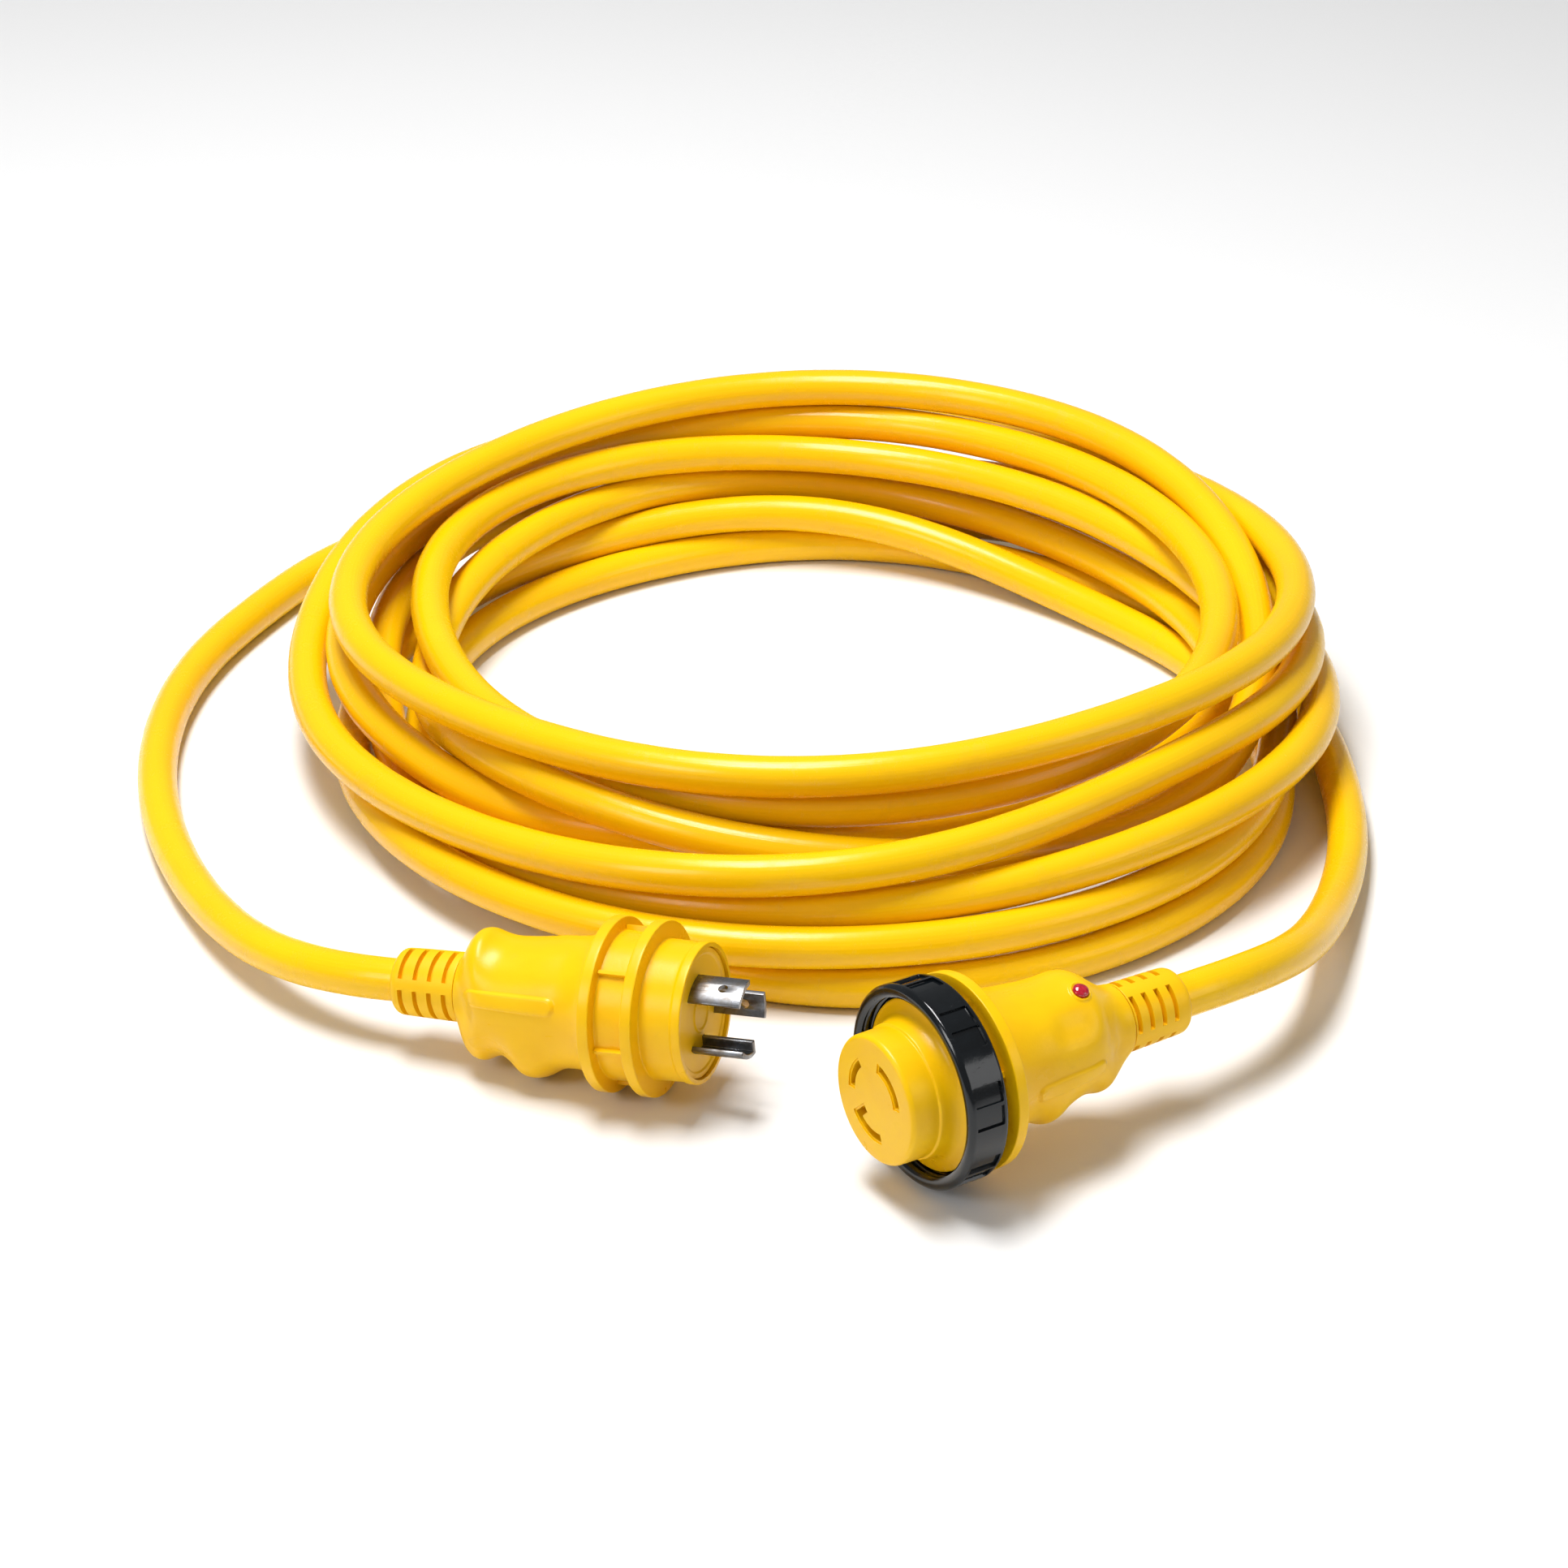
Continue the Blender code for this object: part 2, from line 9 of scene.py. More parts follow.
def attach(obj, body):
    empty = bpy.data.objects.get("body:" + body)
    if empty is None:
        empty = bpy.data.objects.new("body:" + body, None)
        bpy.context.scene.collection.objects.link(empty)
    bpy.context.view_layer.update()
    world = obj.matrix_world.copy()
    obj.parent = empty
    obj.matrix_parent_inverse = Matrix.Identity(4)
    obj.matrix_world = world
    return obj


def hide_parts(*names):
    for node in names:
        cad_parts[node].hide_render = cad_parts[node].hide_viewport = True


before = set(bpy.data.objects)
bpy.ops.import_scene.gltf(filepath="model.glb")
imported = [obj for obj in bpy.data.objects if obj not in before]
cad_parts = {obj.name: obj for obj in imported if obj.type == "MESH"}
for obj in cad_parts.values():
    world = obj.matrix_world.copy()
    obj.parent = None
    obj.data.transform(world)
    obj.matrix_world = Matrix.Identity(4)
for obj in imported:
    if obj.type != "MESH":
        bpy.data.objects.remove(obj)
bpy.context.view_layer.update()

# Looks of the shore power cord: the cord at its real length, the two moulded end pieces with their
# flexible boots, the locking blades, the threaded sealing ring, and a material for every piece.
# Everything is in metres in the CAD's frame. An end piece's own frame has +Z out of its mating face.

MM = 0.001
GAP = 0.3 * MM  # clearance between neighbouring pieces, as in the CAD

# ---- driving dimensions, repeated from the CAD ----
CORD_DIAMETER = 15.5 * MM
CORD_RADIUS = CORD_DIAMETER / 2
PLUG_FACE = Vector((-0.028, 0.018, 0.0343))
PLUG_AXIS = Vector((0.935, -0.345, 0.084)).normalized()
PLUG_GRIP_END = -90.5 * MM
CONNECTOR_FACE = Vector((0.029, -0.046, 0.0378))
CONNECTOR_AXIS = Vector((-0.840, -0.542, 0)).normalized()
CONNECTOR_GRIP_END = -99.5 * MM
BOOT_LENGTH = 26 * MM
BOOT_RADIUS = 12.4 * MM
BOOT_SPIGOT = 6 * MM
CAVITY_RADIUS = 17.2 * MM
BARREL_RADIUS = 24.7 * MM
BARREL_WALL = 1.5 * MM
FLANGE_RADIUS = 31 * MM
NECK_RADIUS = 26.4 * MM
FACE_RECESS = 2.6 * MM
CARRIER_DEPTH = 14.6 * MM
NOSE_RADIUS = 22.9 * MM
DISH_RADIUS = 30.4 * MM
SPIGOT_RADIUS = 21.5 * MM
SPIGOT_END = -36 * MM
REAR_FLANGE_RADIUS = 34.8 * MM
RING_RADIUS = 36 * MM
RING_BORE = 31.5 * MM
RING_FRONT = -14.5 * MM
RING_REAR = -30 * MM
LIP_RADIUS = 28 * MM
LIP_LENGTH = 4 * MM
BLADE_CIRCLE = 13.4 * MM
BLADE_THICKNESS = 1.8 * MM
BLADE_LENGTH = 17 * MM
NIB_LENGTH = 3.5 * MM
HOOK_WIDTH = 9  # degrees of the blade circle
HOOK_REACH = 3.5 * MM
SLOT_CLEARANCE = 0.35 * MM
SLOT_DEPTH = 25 * MM
LIGHT_Z = -78 * MM
LIGHT_ANGLE = 69  # degrees round the connector's grip
LENS_RADIUS = 2.4 * MM

# Each pole: its name, the (angle, width) in degrees of its blade on the plug, the same of its slot on the
# connector, and whether it has the hook.
POLES = (
    ("hot", (-8, 40), (158, 46), False),
    ("neutral", (110, 54), (48, 64), False),
    ("ground", (247, 56), (253, 62), True),
)

# ---- the cord's route ----
COIL_CENTRE = Vector((0.008, 0.295, 0))
PLUG_TAIL = (
    (-0.165, 0.0715, 0.0212), (-0.190, 0.0965, 0.0158), (-0.214, 0.137, 0.0110), (-0.235, 0.189, 0.0080),
    (-0.248, 0.244, 0.0080), (-0.251, 0.298, 0.0080), (-0.246, 0.342, 0.0080), (-0.237, 0.376, 0.0080),
    (-0.222, 0.408, 0.0080), (-0.208, 0.440, 0.0080), (-0.180, 0.475, 0.0080), (-0.140, 0.500, 0.0080),
    (-0.098, 0.508, 0.0080),
)
CONNECTOR_TAIL = (
    (0.158, 0.0395, 0.0368), (0.175, 0.0605, 0.0315), (0.189, 0.091, 0.0228), (0.201, 0.130, 0.0135),
    (0.211, 0.166, 0.0095), (0.2165, 0.199, 0.0080), (0.2175, 0.234, 0.0080),
)
# Where each turn of the coil lies: (radius, height) of the cord's middle in millimetres at each eighth of a
# turn, from +X anticlockwise. The turns start at the connector's tail and end at the plug's.
TURNS = (
    ((206, 8), (181, 8), (186, 8), (171, 8), (155, 8), (166, 8), (212, 8), (209, 8)),
    ((182, 8), (165, 8), (178, 23), (184, 17), (181, 15), (195, 20), (212, 24), (207, 23)),
    ((184, 30), (173, 45), (189, 44), (186, 46), (148, 46), (140, 49), (156, 53), (161, 56)),
    ((166, 58), (182, 60), (202, 58), (202, 48), (184, 35), (158, 27), (149, 37), (140, 34)),
    ((171, 27), (181, 24), (194, 25), (170, 29), (152, 27), (161, 46), (170, 41), (183, 34)),
    ((182, 50), (195, 72), (202, 74), (191, 67), (183, 61), (159, 61), (163, 68), (171, 73)),
    ((194, 66), (207, 57), (218, 52), (216, 52), (200, 32), (190, 35), (201, 49), (182, 53)),
    ((199, 46), (205, 40), (210, 30), (201, 33), (170, 34), (174, 24), (196, 31), (203, 38)),
    ((204, 29), (205, 20), (208, 9)),
)
POINTS_PER_EIGHTH = 3  # 24 points a turn
ROUTE_STEP = 8 * MM
CURVE_STEPS = 16  # steps of the drawn curve between two route points
TUBE_STEP = 5 * MM  # between the tube's sections
CORD_SIDES = 28


# ---- geometry helpers ----
def frame_at(origin, axis):
    """Matrix of the frame at origin whose +Z is axis and whose +Y is as near to up as it can be."""
    across = Vector((0, 0, 1)).cross(axis).normalized()
    up = axis.cross(across)
    return Matrix.Translation(origin) @ Matrix((across, up, axis)).transposed().to_4x4()


PLUG_FRAME = frame_at(PLUG_FACE, PLUG_AXIS)
CONNECTOR_FRAME = frame_at(CONNECTOR_FACE, CONNECTOR_AXIS)


def add_mesh(name, bm_or_data, place, finish, sharp=40):
    """A mesh object from a bmesh or (points, faces), smooth but for edges sharper than `sharp` degrees."""
    mesh = bpy.data.meshes.new(name)
    if isinstance(bm_or_data, bmesh.types.BMesh):
        bm = bm_or_data
    else:
        points, faces = bm_or_data
        mesh.from_pydata(points, [], faces)
        bm = bmesh.new()
        bm.from_mesh(mesh)
    bmesh.ops.recalc_face_normals(bm, faces=bm.faces)
    bm.to_mesh(mesh)
    bm.free()
    mesh.shade_smooth()
    mesh.set_sharp_from_angle(angle=math.radians(sharp))
    made = bpy.data.objects.new(name, mesh)
    made.matrix_world = place
    made.data.materials.append(finish)
    bpy.context.collection.objects.link(made)
    return made


def settle(piece, body, slot_name, *nodes):
    """Put a finished piece on its body and hide the CAD nodes that it stands for; slot_name is not used."""
    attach(piece, body)
    if nodes:
        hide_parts(*nodes)
    return piece


def rounded(corners, bends, steps=5):
    """An open outline with each corner turned into a small curve, which starts its bend before the corner."""
    corners = np.array(corners, float)
    rows = [corners[0]]
    for k in range(1, len(corners) - 1):
        before, corner, after = corners[k - 1 : k + 2]
        back, ahead = before - corner, after - corner
        back_length, ahead_length = np.linalg.norm(back[:2]), np.linalg.norm(ahead[:2])
        start = corner + back * min(bends[k] / back_length, 0.5)
        end = corner + ahead * min(bends[k] / ahead_length, 0.5)
        for t in np.linspace(0, 1, steps):
            rows.append((1 - t) ** 2 * start + 2 * t * (1 - t) * corner + t**2 * end)
    rows.append(corners[-1])
    kept = [rows[0]]
    for row in rows[1:]:
        if np.linalg.norm(row[:2] - kept[-1][:2]) > 0.01:
            kept.append(row)
    return np.array(kept)


def filled(rows, longest):
    """The same outline with rows added so that none is further than `longest` from the next."""
    made = [rows[0]]
    for first, second in zip(rows, rows[1:]):
        count = max(1, math.ceil(np.linalg.norm((second - first)[:2]) / longest))
        made += [first + (second - first) * k / count for k in range(1, count + 1)]
    return np.array(made)


def with_edges(values, edges, half):
    """Sorted values with a close pair added at each edge, so that a step there comes out crisp."""
    pairs = [edge + side * half for edge in edges for side in (-1, 1)]
    return np.unique(np.round(np.concatenate([values, pairs]), 5))


def rows_at(rows, edges, half=0.06):
    """Rows of a falling outline with close pairs added at the heights in `edges`."""
    depths = with_edges(-rows[:, 0], [-edge for edge in edges], half)
    columns = [np.interp(depths, -rows[:, 0], rows[:, c]) for c in range(1, rows.shape[1])]
    return np.stack([-depths, *columns], 1)


def angles_with(count, edges=(), fine=(), half=0.25):
    """Angles in degrees: an even set, close pairs at each edge, a finer set round each (angle, spread)."""
    even = np.arange(count) * 360 / count
    extra = [np.arange(centre - spread, centre + spread, 1.0) for centre, spread in fine]
    made = with_edges(np.concatenate([even, *extra]) % 360, [edge % 360 for edge in edges], half)
    return made[np.concatenate([[True], np.diff(made) > 0.05])]


def apart(angle, centre):
    """Smallest turn from centre to angle, in degrees, with its sign."""
    return (angle - centre + 180) % 360 - 180


def smooth_step(value):
    value = np.clip(value, 0, 1)
    return value * value * (3 - 2 * value)


def swollen(side, angle, top, bottom):
    """Radius of a grip's skin from its radii at the side, at the top and underneath."""
    lift = np.sin(np.radians(angle))
    up = np.clip(lift, 0, 1) ** 2
    down = smooth_step(-lift / 0.9)
    return side + (top - side) * up + (bottom - side) * down


def pad(height, angle, radius, centre, low, high, half_width, edge):
    """1 on a long raised strip with round ends, 0 off it: from `low` to `high` along the axis."""
    across = np.radians(apart(angle, centre)) * radius
    beyond = np.maximum(np.maximum(low + half_width - height, height - high + half_width), 0)
    return smooth_step((half_width + edge / 2 - np.hypot(across, beyond)) / edge)


def round_section(height, radius, *_):
    """The shape of a plain turned piece, for lathe()."""
    return radius


def round_rows(outline):
    """Outline points (height, radius) as the rows that lathe() takes, for a piece with a round section."""
    return [(height, radius, 0.0, 0.0) for height, radius in outline]


def lathe(outside, inside, angles, shape):
    """(points, faces) of a closed shell: the outside rows take their radius from shape(), the inside don't.

    Outside rows are (height, radius at the side, at the top, underneath) in millimetres. Inside rows are
    (height, radius), and those of a solid have a radius of 0.
    """
    turn = np.radians(angles)
    skin = shape(outside[:, :1], outside[:, 1:2], angles[None, :], outside[:, 2:3], outside[:, 3:4])
    skin = np.broadcast_to(skin, (len(outside), len(angles)))
    inner_rows = np.array([row for row in inside if row[1] > 0], float).reshape(-1, 2)
    radii = np.concatenate([skin, np.repeat(inner_rows[:, 1:2], len(angles), 1)])
    heights = np.concatenate([outside[:, 0], inner_rows[:, 0]])
    count, rings = len(angles), len(heights)
    levels = np.repeat(heights[:, None], count, 1)
    points = np.stack([radii * np.cos(turn), radii * np.sin(turn), levels], 2).reshape(-1, 3)
    faces = []
    solid = len(inner_rows) < len(inside)
    for k in range(rings - 1 if solid else rings):
        first, second = k * count, (k + 1) % rings * count
        for i in range(count):
            j = (i + 1) % count
            faces.append((first + i, first + j, second + j, second + i))
    if solid:
        faces.append(tuple(range(count)))
        faces.append(tuple(range((rings - 1) * count, rings * count)))
    return (points * MM).tolist(), faces


def with_modifier(piece, kind, **settings):
    """Apply one modifier to a piece, through a new mesh made from its evaluated form."""
    modifier = piece.modifiers.new(kind.lower(), kind)
    for key, value in settings.items():
        setattr(modifier, key, value)
    bpy.context.view_layer.update()
    evaluated = piece.evaluated_get(bpy.context.evaluated_depsgraph_get())
    mesh = bpy.data.meshes.new_from_object(evaluated)
    piece.modifiers.clear()
    piece.data = mesh
    return piece


def cut(piece, cutter, sharp=40):
    """Take the cutter's shape out of the piece for good."""
    with_modifier(piece, "BOOLEAN", operation="DIFFERENCE", solver="EXACT", object=cutter)
    bpy.data.objects.remove(cutter, do_unlink=True)
    piece.data.shade_smooth()
    piece.data.set_sharp_from_angle(angle=math.radians(sharp))
    return piece


# ---- materials ----
class Nodes:
    """A material's node tree, built by short calls."""

    def __init__(self, name):
        self.material = bpy.data.materials.new(name)
        self.material.use_nodes = True
        self.tree = self.material.node_tree
        self.shader = self.tree.nodes["Principled BSDF"]
        self.place = self.add("ShaderNodeTexCoord").outputs["Object"]

    def add(self, kind, **settings):
        node = self.tree.nodes.new(kind)
        for key, value in settings.items():
            setattr(node, key, value)
        return node

    def link(self, source, target):
        self.tree.links.new(source, target)

    def stretched(self, scale):
        """Object coordinates scaled by (x, y, z)."""
        mapping = self.add("ShaderNodeMapping")
        mapping.inputs["Scale"].default_value = scale
        self.link(self.place, mapping.inputs["Vector"])
        return mapping.outputs["Vector"]

    def noise(self, size, detail=4.0, where=None, rough=0.55):
        """Noise from 0 to 1 whose blobs are about `size` metres across."""
        node = self.add("ShaderNodeTexNoise")
        node.inputs["Scale"].default_value = 1 / size
        node.inputs["Detail"].default_value = detail
        node.inputs["Roughness"].default_value = rough
        self.link(where or self.place, node.inputs["Vector"])
        return node.outputs["Fac"]

    def spread(self, value, low, high, to_low=0.0, to_high=1.0):
        """Map low..high of a value to to_low..to_high, held at both ends."""
        node = self.add("ShaderNodeMapRange")
        for key, number in (("From Min", low), ("From Max", high), ("To Min", to_low), ("To Max", to_high)):
            node.inputs[key].default_value = number
        self.link(value, node.inputs["Value"])
        return node.outputs["Result"]

    def mix(self, amount, first, second):
        """Mix two colours; each is a socket or three numbers."""
        node = self.add("ShaderNodeMix", data_type="RGBA")
        for key, colour in (("A", first), ("B", second)):
            target = next(s for s in node.inputs if s.name == key and s.type == "RGBA")
            if isinstance(colour, tuple):
                target.default_value = (*colour, 1)
            else:
                self.link(colour, target)
        factor = next(s for s in node.inputs if s.name == "Factor" and s.type == "VALUE")
        if isinstance(amount, float):
            factor.default_value = amount
        else:
            self.link(amount, factor)
        return next(s for s in node.outputs if s.type == "RGBA")

    def sum(self, first, second, operation="ADD"):
        node = self.add("ShaderNodeMath", operation=operation)
        for target, value in zip(node.inputs, (first, second)):
            if isinstance(value, float):
                target.default_value = value
            else:
                self.link(value, target)
        return node.outputs["Value"]

    def bump(self, layers):
        """Bump layers of (height socket, depth in metres), each on top of the one before."""
        normal = None
        for height, depth in layers:
            node = self.add("ShaderNodeBump")
            node.inputs["Strength"].default_value = 1.0
            node.inputs["Distance"].default_value = depth
            self.link(height, node.inputs["Height"])
            if normal:
                self.link(normal, node.inputs["Normal"])
            normal = node.outputs["Normal"]
        self.link(normal, self.shader.inputs["Normal"])

    def worn_edges(self, low=0.52, high=0.6):
        """1 along outward edges of a fine mesh."""
        return self.spread(self.add("ShaderNodeNewGeometry").outputs["Pointiness"], low, high)

    def finish(self, colour, roughness, metallic=0.0, **plain):
        self.link(colour, self.shader.inputs["Base Color"])
        self.link(roughness, self.shader.inputs["Roughness"])
        self.shader.inputs["Metallic"].default_value = metallic
        for key, value in plain.items():
            self.shader.inputs[key.replace("_", " ")].default_value = value
        return self.material


YELLOW = (0.93, 0.55, 0.001)
DEEP_YELLOW = (0.90, 0.50, 0.001)
PALE_YELLOW = (0.95, 0.62, 0.004)
GRIME = (0.50, 0.26, 0.01)


def cord_jacket():
    """Extruded PVC: satin, faintly drawn along its length, with scuffs and a little dirt off the ground."""
    made = Nodes("cord_jacket_pvc")
    uv = made.add("ShaderNodeTexCoord").outputs["UV"]
    drawn = made.add("ShaderNodeMapping")
    drawn.inputs["Scale"].default_value = (1.5, 60.0, 1.0)  # long along the cord, fine round it
    made.link(uv, drawn.inputs["Vector"])
    lines = made.add("ShaderNodeTexNoise")
    lines.inputs["Scale"].default_value = 1.0
    lines.inputs["Detail"].default_value = 3.0
    made.link(drawn.outputs["Vector"], lines.inputs["Vector"])
    broad = made.noise(0.12, 3.0)
    fine = made.noise(0.0006, 2.0)
    scuff = made.spread(made.noise(0.014, 6.0, rough=0.7), 0.56, 0.72)
    colour = made.mix(made.spread(broad, 0.35, 0.65), DEEP_YELLOW, YELLOW)
    pale = made.sum(made.spread(lines.outputs["Fac"], 0.4, 0.62), 0.12, "MULTIPLY")
    colour = made.mix(pale, colour, PALE_YELLOW)
    colour = made.mix(made.sum(scuff, 0.10, "MULTIPLY"), colour, GRIME)
    rough = made.sum(made.spread(fine, 0.3, 0.7, 0.20, 0.28), made.sum(scuff, 0.16, "MULTIPLY"))
    made.bump(((lines.outputs["Fac"], 0.00008), (made.noise(0.006, 4.0), 0.00010), (fine, 0.000015)))
    return made.finish(colour, rough, Specular_IOR_Level=0.32)


def moulded_vinyl(name, grain, gloss):
    """Injection-moulded vinyl: an eggshell grain, paler rubbed edges, and slight flow marks."""
    made = Nodes(name)
    grain_height = made.noise(grain, 2.0)
    flow = made.noise(0.018, 5.0, made.stretched((1.0, 1.0, 0.45)))
    colour = made.mix(made.spread(flow, 0.35, 0.68), DEEP_YELLOW, YELLOW)
    colour = made.mix(made.sum(made.worn_edges(), 0.45, "MULTIPLY"), colour, PALE_YELLOW)
    spots = made.spread(made.noise(0.009, 6.0, rough=0.7), 0.60, 0.74)
    colour = made.mix(made.sum(spots, 0.10, "MULTIPLY"), colour, GRIME)
    rough = made.sum(made.spread(flow, 0.3, 0.7, gloss, gloss + 0.09), made.sum(spots, 0.12, "MULTIPLY"))
    made.bump(((made.noise(0.010, 3.0), 0.00010), (grain_height, 0.00003)))
    return made.finish(colour, rough, Specular_IOR_Level=0.26)


def black_nylon():
    """Glossy black moulded ring: near-black with grey rubbed edges and fine scratches."""
    made = Nodes("ring_nylon")
    haze = made.noise(0.012, 6.0, rough=0.65)
    scratches = made.spread(made.noise(0.004, 8.0, made.stretched((1.0, 6.0, 1.0))), 0.62, 0.70)
    colour = made.mix(made.spread(haze, 0.35, 0.7), (0.0015, 0.0025, 0.0035), (0.004, 0.006, 0.008))
    colour = made.mix(made.sum(made.worn_edges(0.54, 0.64), 0.12, "MULTIPLY"), colour, (0.05, 0.06, 0.07))
    rough = made.sum(made.spread(haze, 0.3, 0.7, 0.08, 0.17), made.sum(scratches, 0.18, "MULTIPLY"))
    made.bump(((made.noise(0.007, 3.0), 0.00006), (made.noise(0.0005, 2.0), 0.00001)))
    return made.finish(colour, rough)


def metal(name, bright, dull, rough):
    """Plated or bare metal: brushed along local Z, with duller patches."""
    made = Nodes(name)
    brushing = made.noise(0.0004, 3.0, made.stretched((1.0, 1.0, 0.05)))
    patches = made.noise(0.005, 5.0, rough=0.65)
    colour = made.mix(made.spread(patches, 0.38, 0.7), bright, dull)
    patchy = made.spread(patches, 0.3, 0.75, rough, rough + 0.15)
    roughness = made.sum(patchy, made.spread(brushing, 0.3, 0.7, 0.0, 0.08))
    made.bump(((brushing, 0.000012), (made.noise(0.003, 3.0), 0.00002)))
    return made.finish(colour, roughness, 1.0)


def insulation(name, colour, second):
    """Thin PVC insulation: even colour with faint chalking."""
    made = Nodes(name)
    patches = made.noise(0.006, 4.0)
    made.bump(((made.noise(0.0008, 2.0), 0.00002),))
    return made.finish(made.mix(patches, colour, second), made.spread(patches, 0.3, 0.7, 0.36, 0.5))


def red_lens():
    """Clear red lens over a lamp: deep colour with a few swirls inside."""
    made = Nodes("lens_acrylic")
    swirl = made.noise(0.0012, 4.0)
    colour = made.mix(made.spread(swirl, 0.35, 0.65), (0.42, 0.002, 0.02), (0.75, 0.02, 0.06))
    rough = made.spread(swirl, 0.3, 0.7, 0.06, 0.12)
    made.bump(((swirl, 0.00004),))
    return made.finish(colour, rough, Transmission_Weight=0.35, IOR=1.49, Coat_Weight=0.6)


def resistor_body():
    """Small lacquered resistor with generic colour bands along its length."""
    made = Nodes("resistor_lacquer")
    wave = made.add("ShaderNodeTexWave", wave_type="BANDS", bands_direction="X")
    wave.inputs["Scale"].default_value = 160.0
    wave.inputs["Distortion"].default_value = 0.0
    made.link(made.place, wave.inputs["Vector"])
    band = made.spread(wave.outputs["Fac"], 0.78, 0.82)
    base = made.mix(made.noise(0.001, 3.0), (0.13, 0.26, 0.46), (0.18, 0.34, 0.55))
    rough = made.spread(made.noise(0.002), 0.3, 0.7, 0.3, 0.4)
    made.bump(((wave.outputs["Fac"], 0.00002),))
    return made.finish(made.mix(band, base, (0.35, 0.06, 0.02)), rough)


def studio_floor():
    """Pale matt sweep with a barely visible tooth."""
    made = Nodes("studio_sweep")
    tooth = made.noise(0.004, 5.0)
    colour = made.mix(made.noise(0.6), (0.84, 0.84, 0.84), (0.87, 0.87, 0.87))
    made.bump(((tooth, 0.00002),))
    return made.finish(colour, made.spread(tooth, 0.3, 0.7, 0.6, 0.75))


JACKET = cord_jacket()
MOULDED = moulded_vinyl("moulded_vinyl", 0.0007, 0.26)
BOOT_VINYL = moulded_vinyl("boot_vinyl", 0.0005, 0.36)
FACE_VINYL = moulded_vinyl("face_vinyl", 0.0009, 0.42)
RING_NYLON = black_nylon()
PLATED = metal("nickel_plate", (0.26, 0.27, 0.29), (0.13, 0.11, 0.09), 0.22)
BRASS = metal("contact_brass", (0.80, 0.58, 0.27), (0.55, 0.37, 0.16), 0.24)
CRIMP_METAL = metal("tinned_copper", (0.72, 0.66, 0.60), (0.62, 0.42, 0.28), 0.28)
LENS = red_lens()


# ---- camera ----
def make_camera():
    """The catalogue view: from in front and about 27 degrees above, through a long lens."""
    data = bpy.data.cameras.new("camera")
    data.sensor_width = 36
    data.lens = 101.18
    data.clip_end = 100
    camera = bpy.data.objects.new("camera", data)
    camera.location = (-0.00094, -1.30133, 0.80070)
    camera.rotation_euler = (math.radians(62.827), 0, 0)
    bpy.context.collection.objects.link(camera)
    bpy.context.scene.camera = camera


# ---- cord ----
def catmull_rom(a, b, c, d, t):
    """Smooth curve from b to c, at t from 0 to 1, that heads from a and towards d."""
    return 0.5 * (2 * b + (c - a) * t + (2 * a - 5 * b + 4 * c - d) * t**2 + (3 * b - a - 3 * c + d) * t**3)


def coil_points():
    """Points round the coil, through the stations of TURNS."""
    stations = np.array([station for turn in TURNS for station in turn], float) * MM
    stations = np.vstack([2 * stations[0] - stations[1], stations, 2 * stations[-1] - stations[-2]])
    points = []
    for k in range(1, len(stations) - 2):
        for part in range(POINTS_PER_EIGHTH):
            t = part / POINTS_PER_EIGHTH
            radius, height = catmull_rom(*stations[k - 1 : k + 3], t)
            angle = (k - 1 + t) * math.pi / 4
            spot = COIL_CENTRE + Vector((radius * math.cos(angle), radius * math.sin(angle), height))
            points.append(tuple(spot))
    return points


def even_steps(points, step):
    """The same line read at equal steps."""
    lengths = np.linalg.norm(np.diff(points, axis=0), axis=1)
    run = np.concatenate([[0], np.cumsum(lengths)])
    wanted = np.linspace(0, run[-1], round(run[-1] / step) + 1)
    return np.stack([np.interp(wanted, run, points[:, axis]) for axis in range(3)], 1)


def bending(count):
    """Matrix of a line's bending energy: the sum of its squared second differences."""
    bend = np.array((1, -2, 1))
    made = np.zeros((count, count))
    for k in range(count - 2):
        made[k : k + 3, k : k + 3] += np.outer(bend, bend)
    return made


def boot_exit(face, axis, grip_end):
    """Where the cord leaves a boot, and a second point straight behind it."""
    straight = 12 * MM
    rear = grip_end - BOOT_LENGTH
    return [face + axis * rear, face + axis * (rear - straight)]


def cord_route():
    """Middle line of the whole cord, from the connector's boot to the plug's."""
    connector_end = boot_exit(CONNECTOR_FACE, CONNECTOR_AXIS, CONNECTOR_GRIP_END)
    plug_end = boot_exit(PLUG_FACE, PLUG_AXIS, PLUG_GRIP_END)
    points = [*connector_end, *CONNECTOR_TAIL, *coil_points(), *reversed(PLUG_TAIL), *reversed(plug_end)]
    points = np.array([tuple(point) for point in points])
    points = np.vstack([2 * points[0] - points[1], points, 2 * points[-1] - points[-2]])
    dense = []
    for k in range(1, len(points) - 2):
        for part in range(CURVE_STEPS):
            dense.append(catmull_rom(*points[k - 1 : k + 3], part / CURVE_STEPS))
    dense.append(points[-2])
    return laid(even_steps(np.array(dense), ROUTE_STEP))


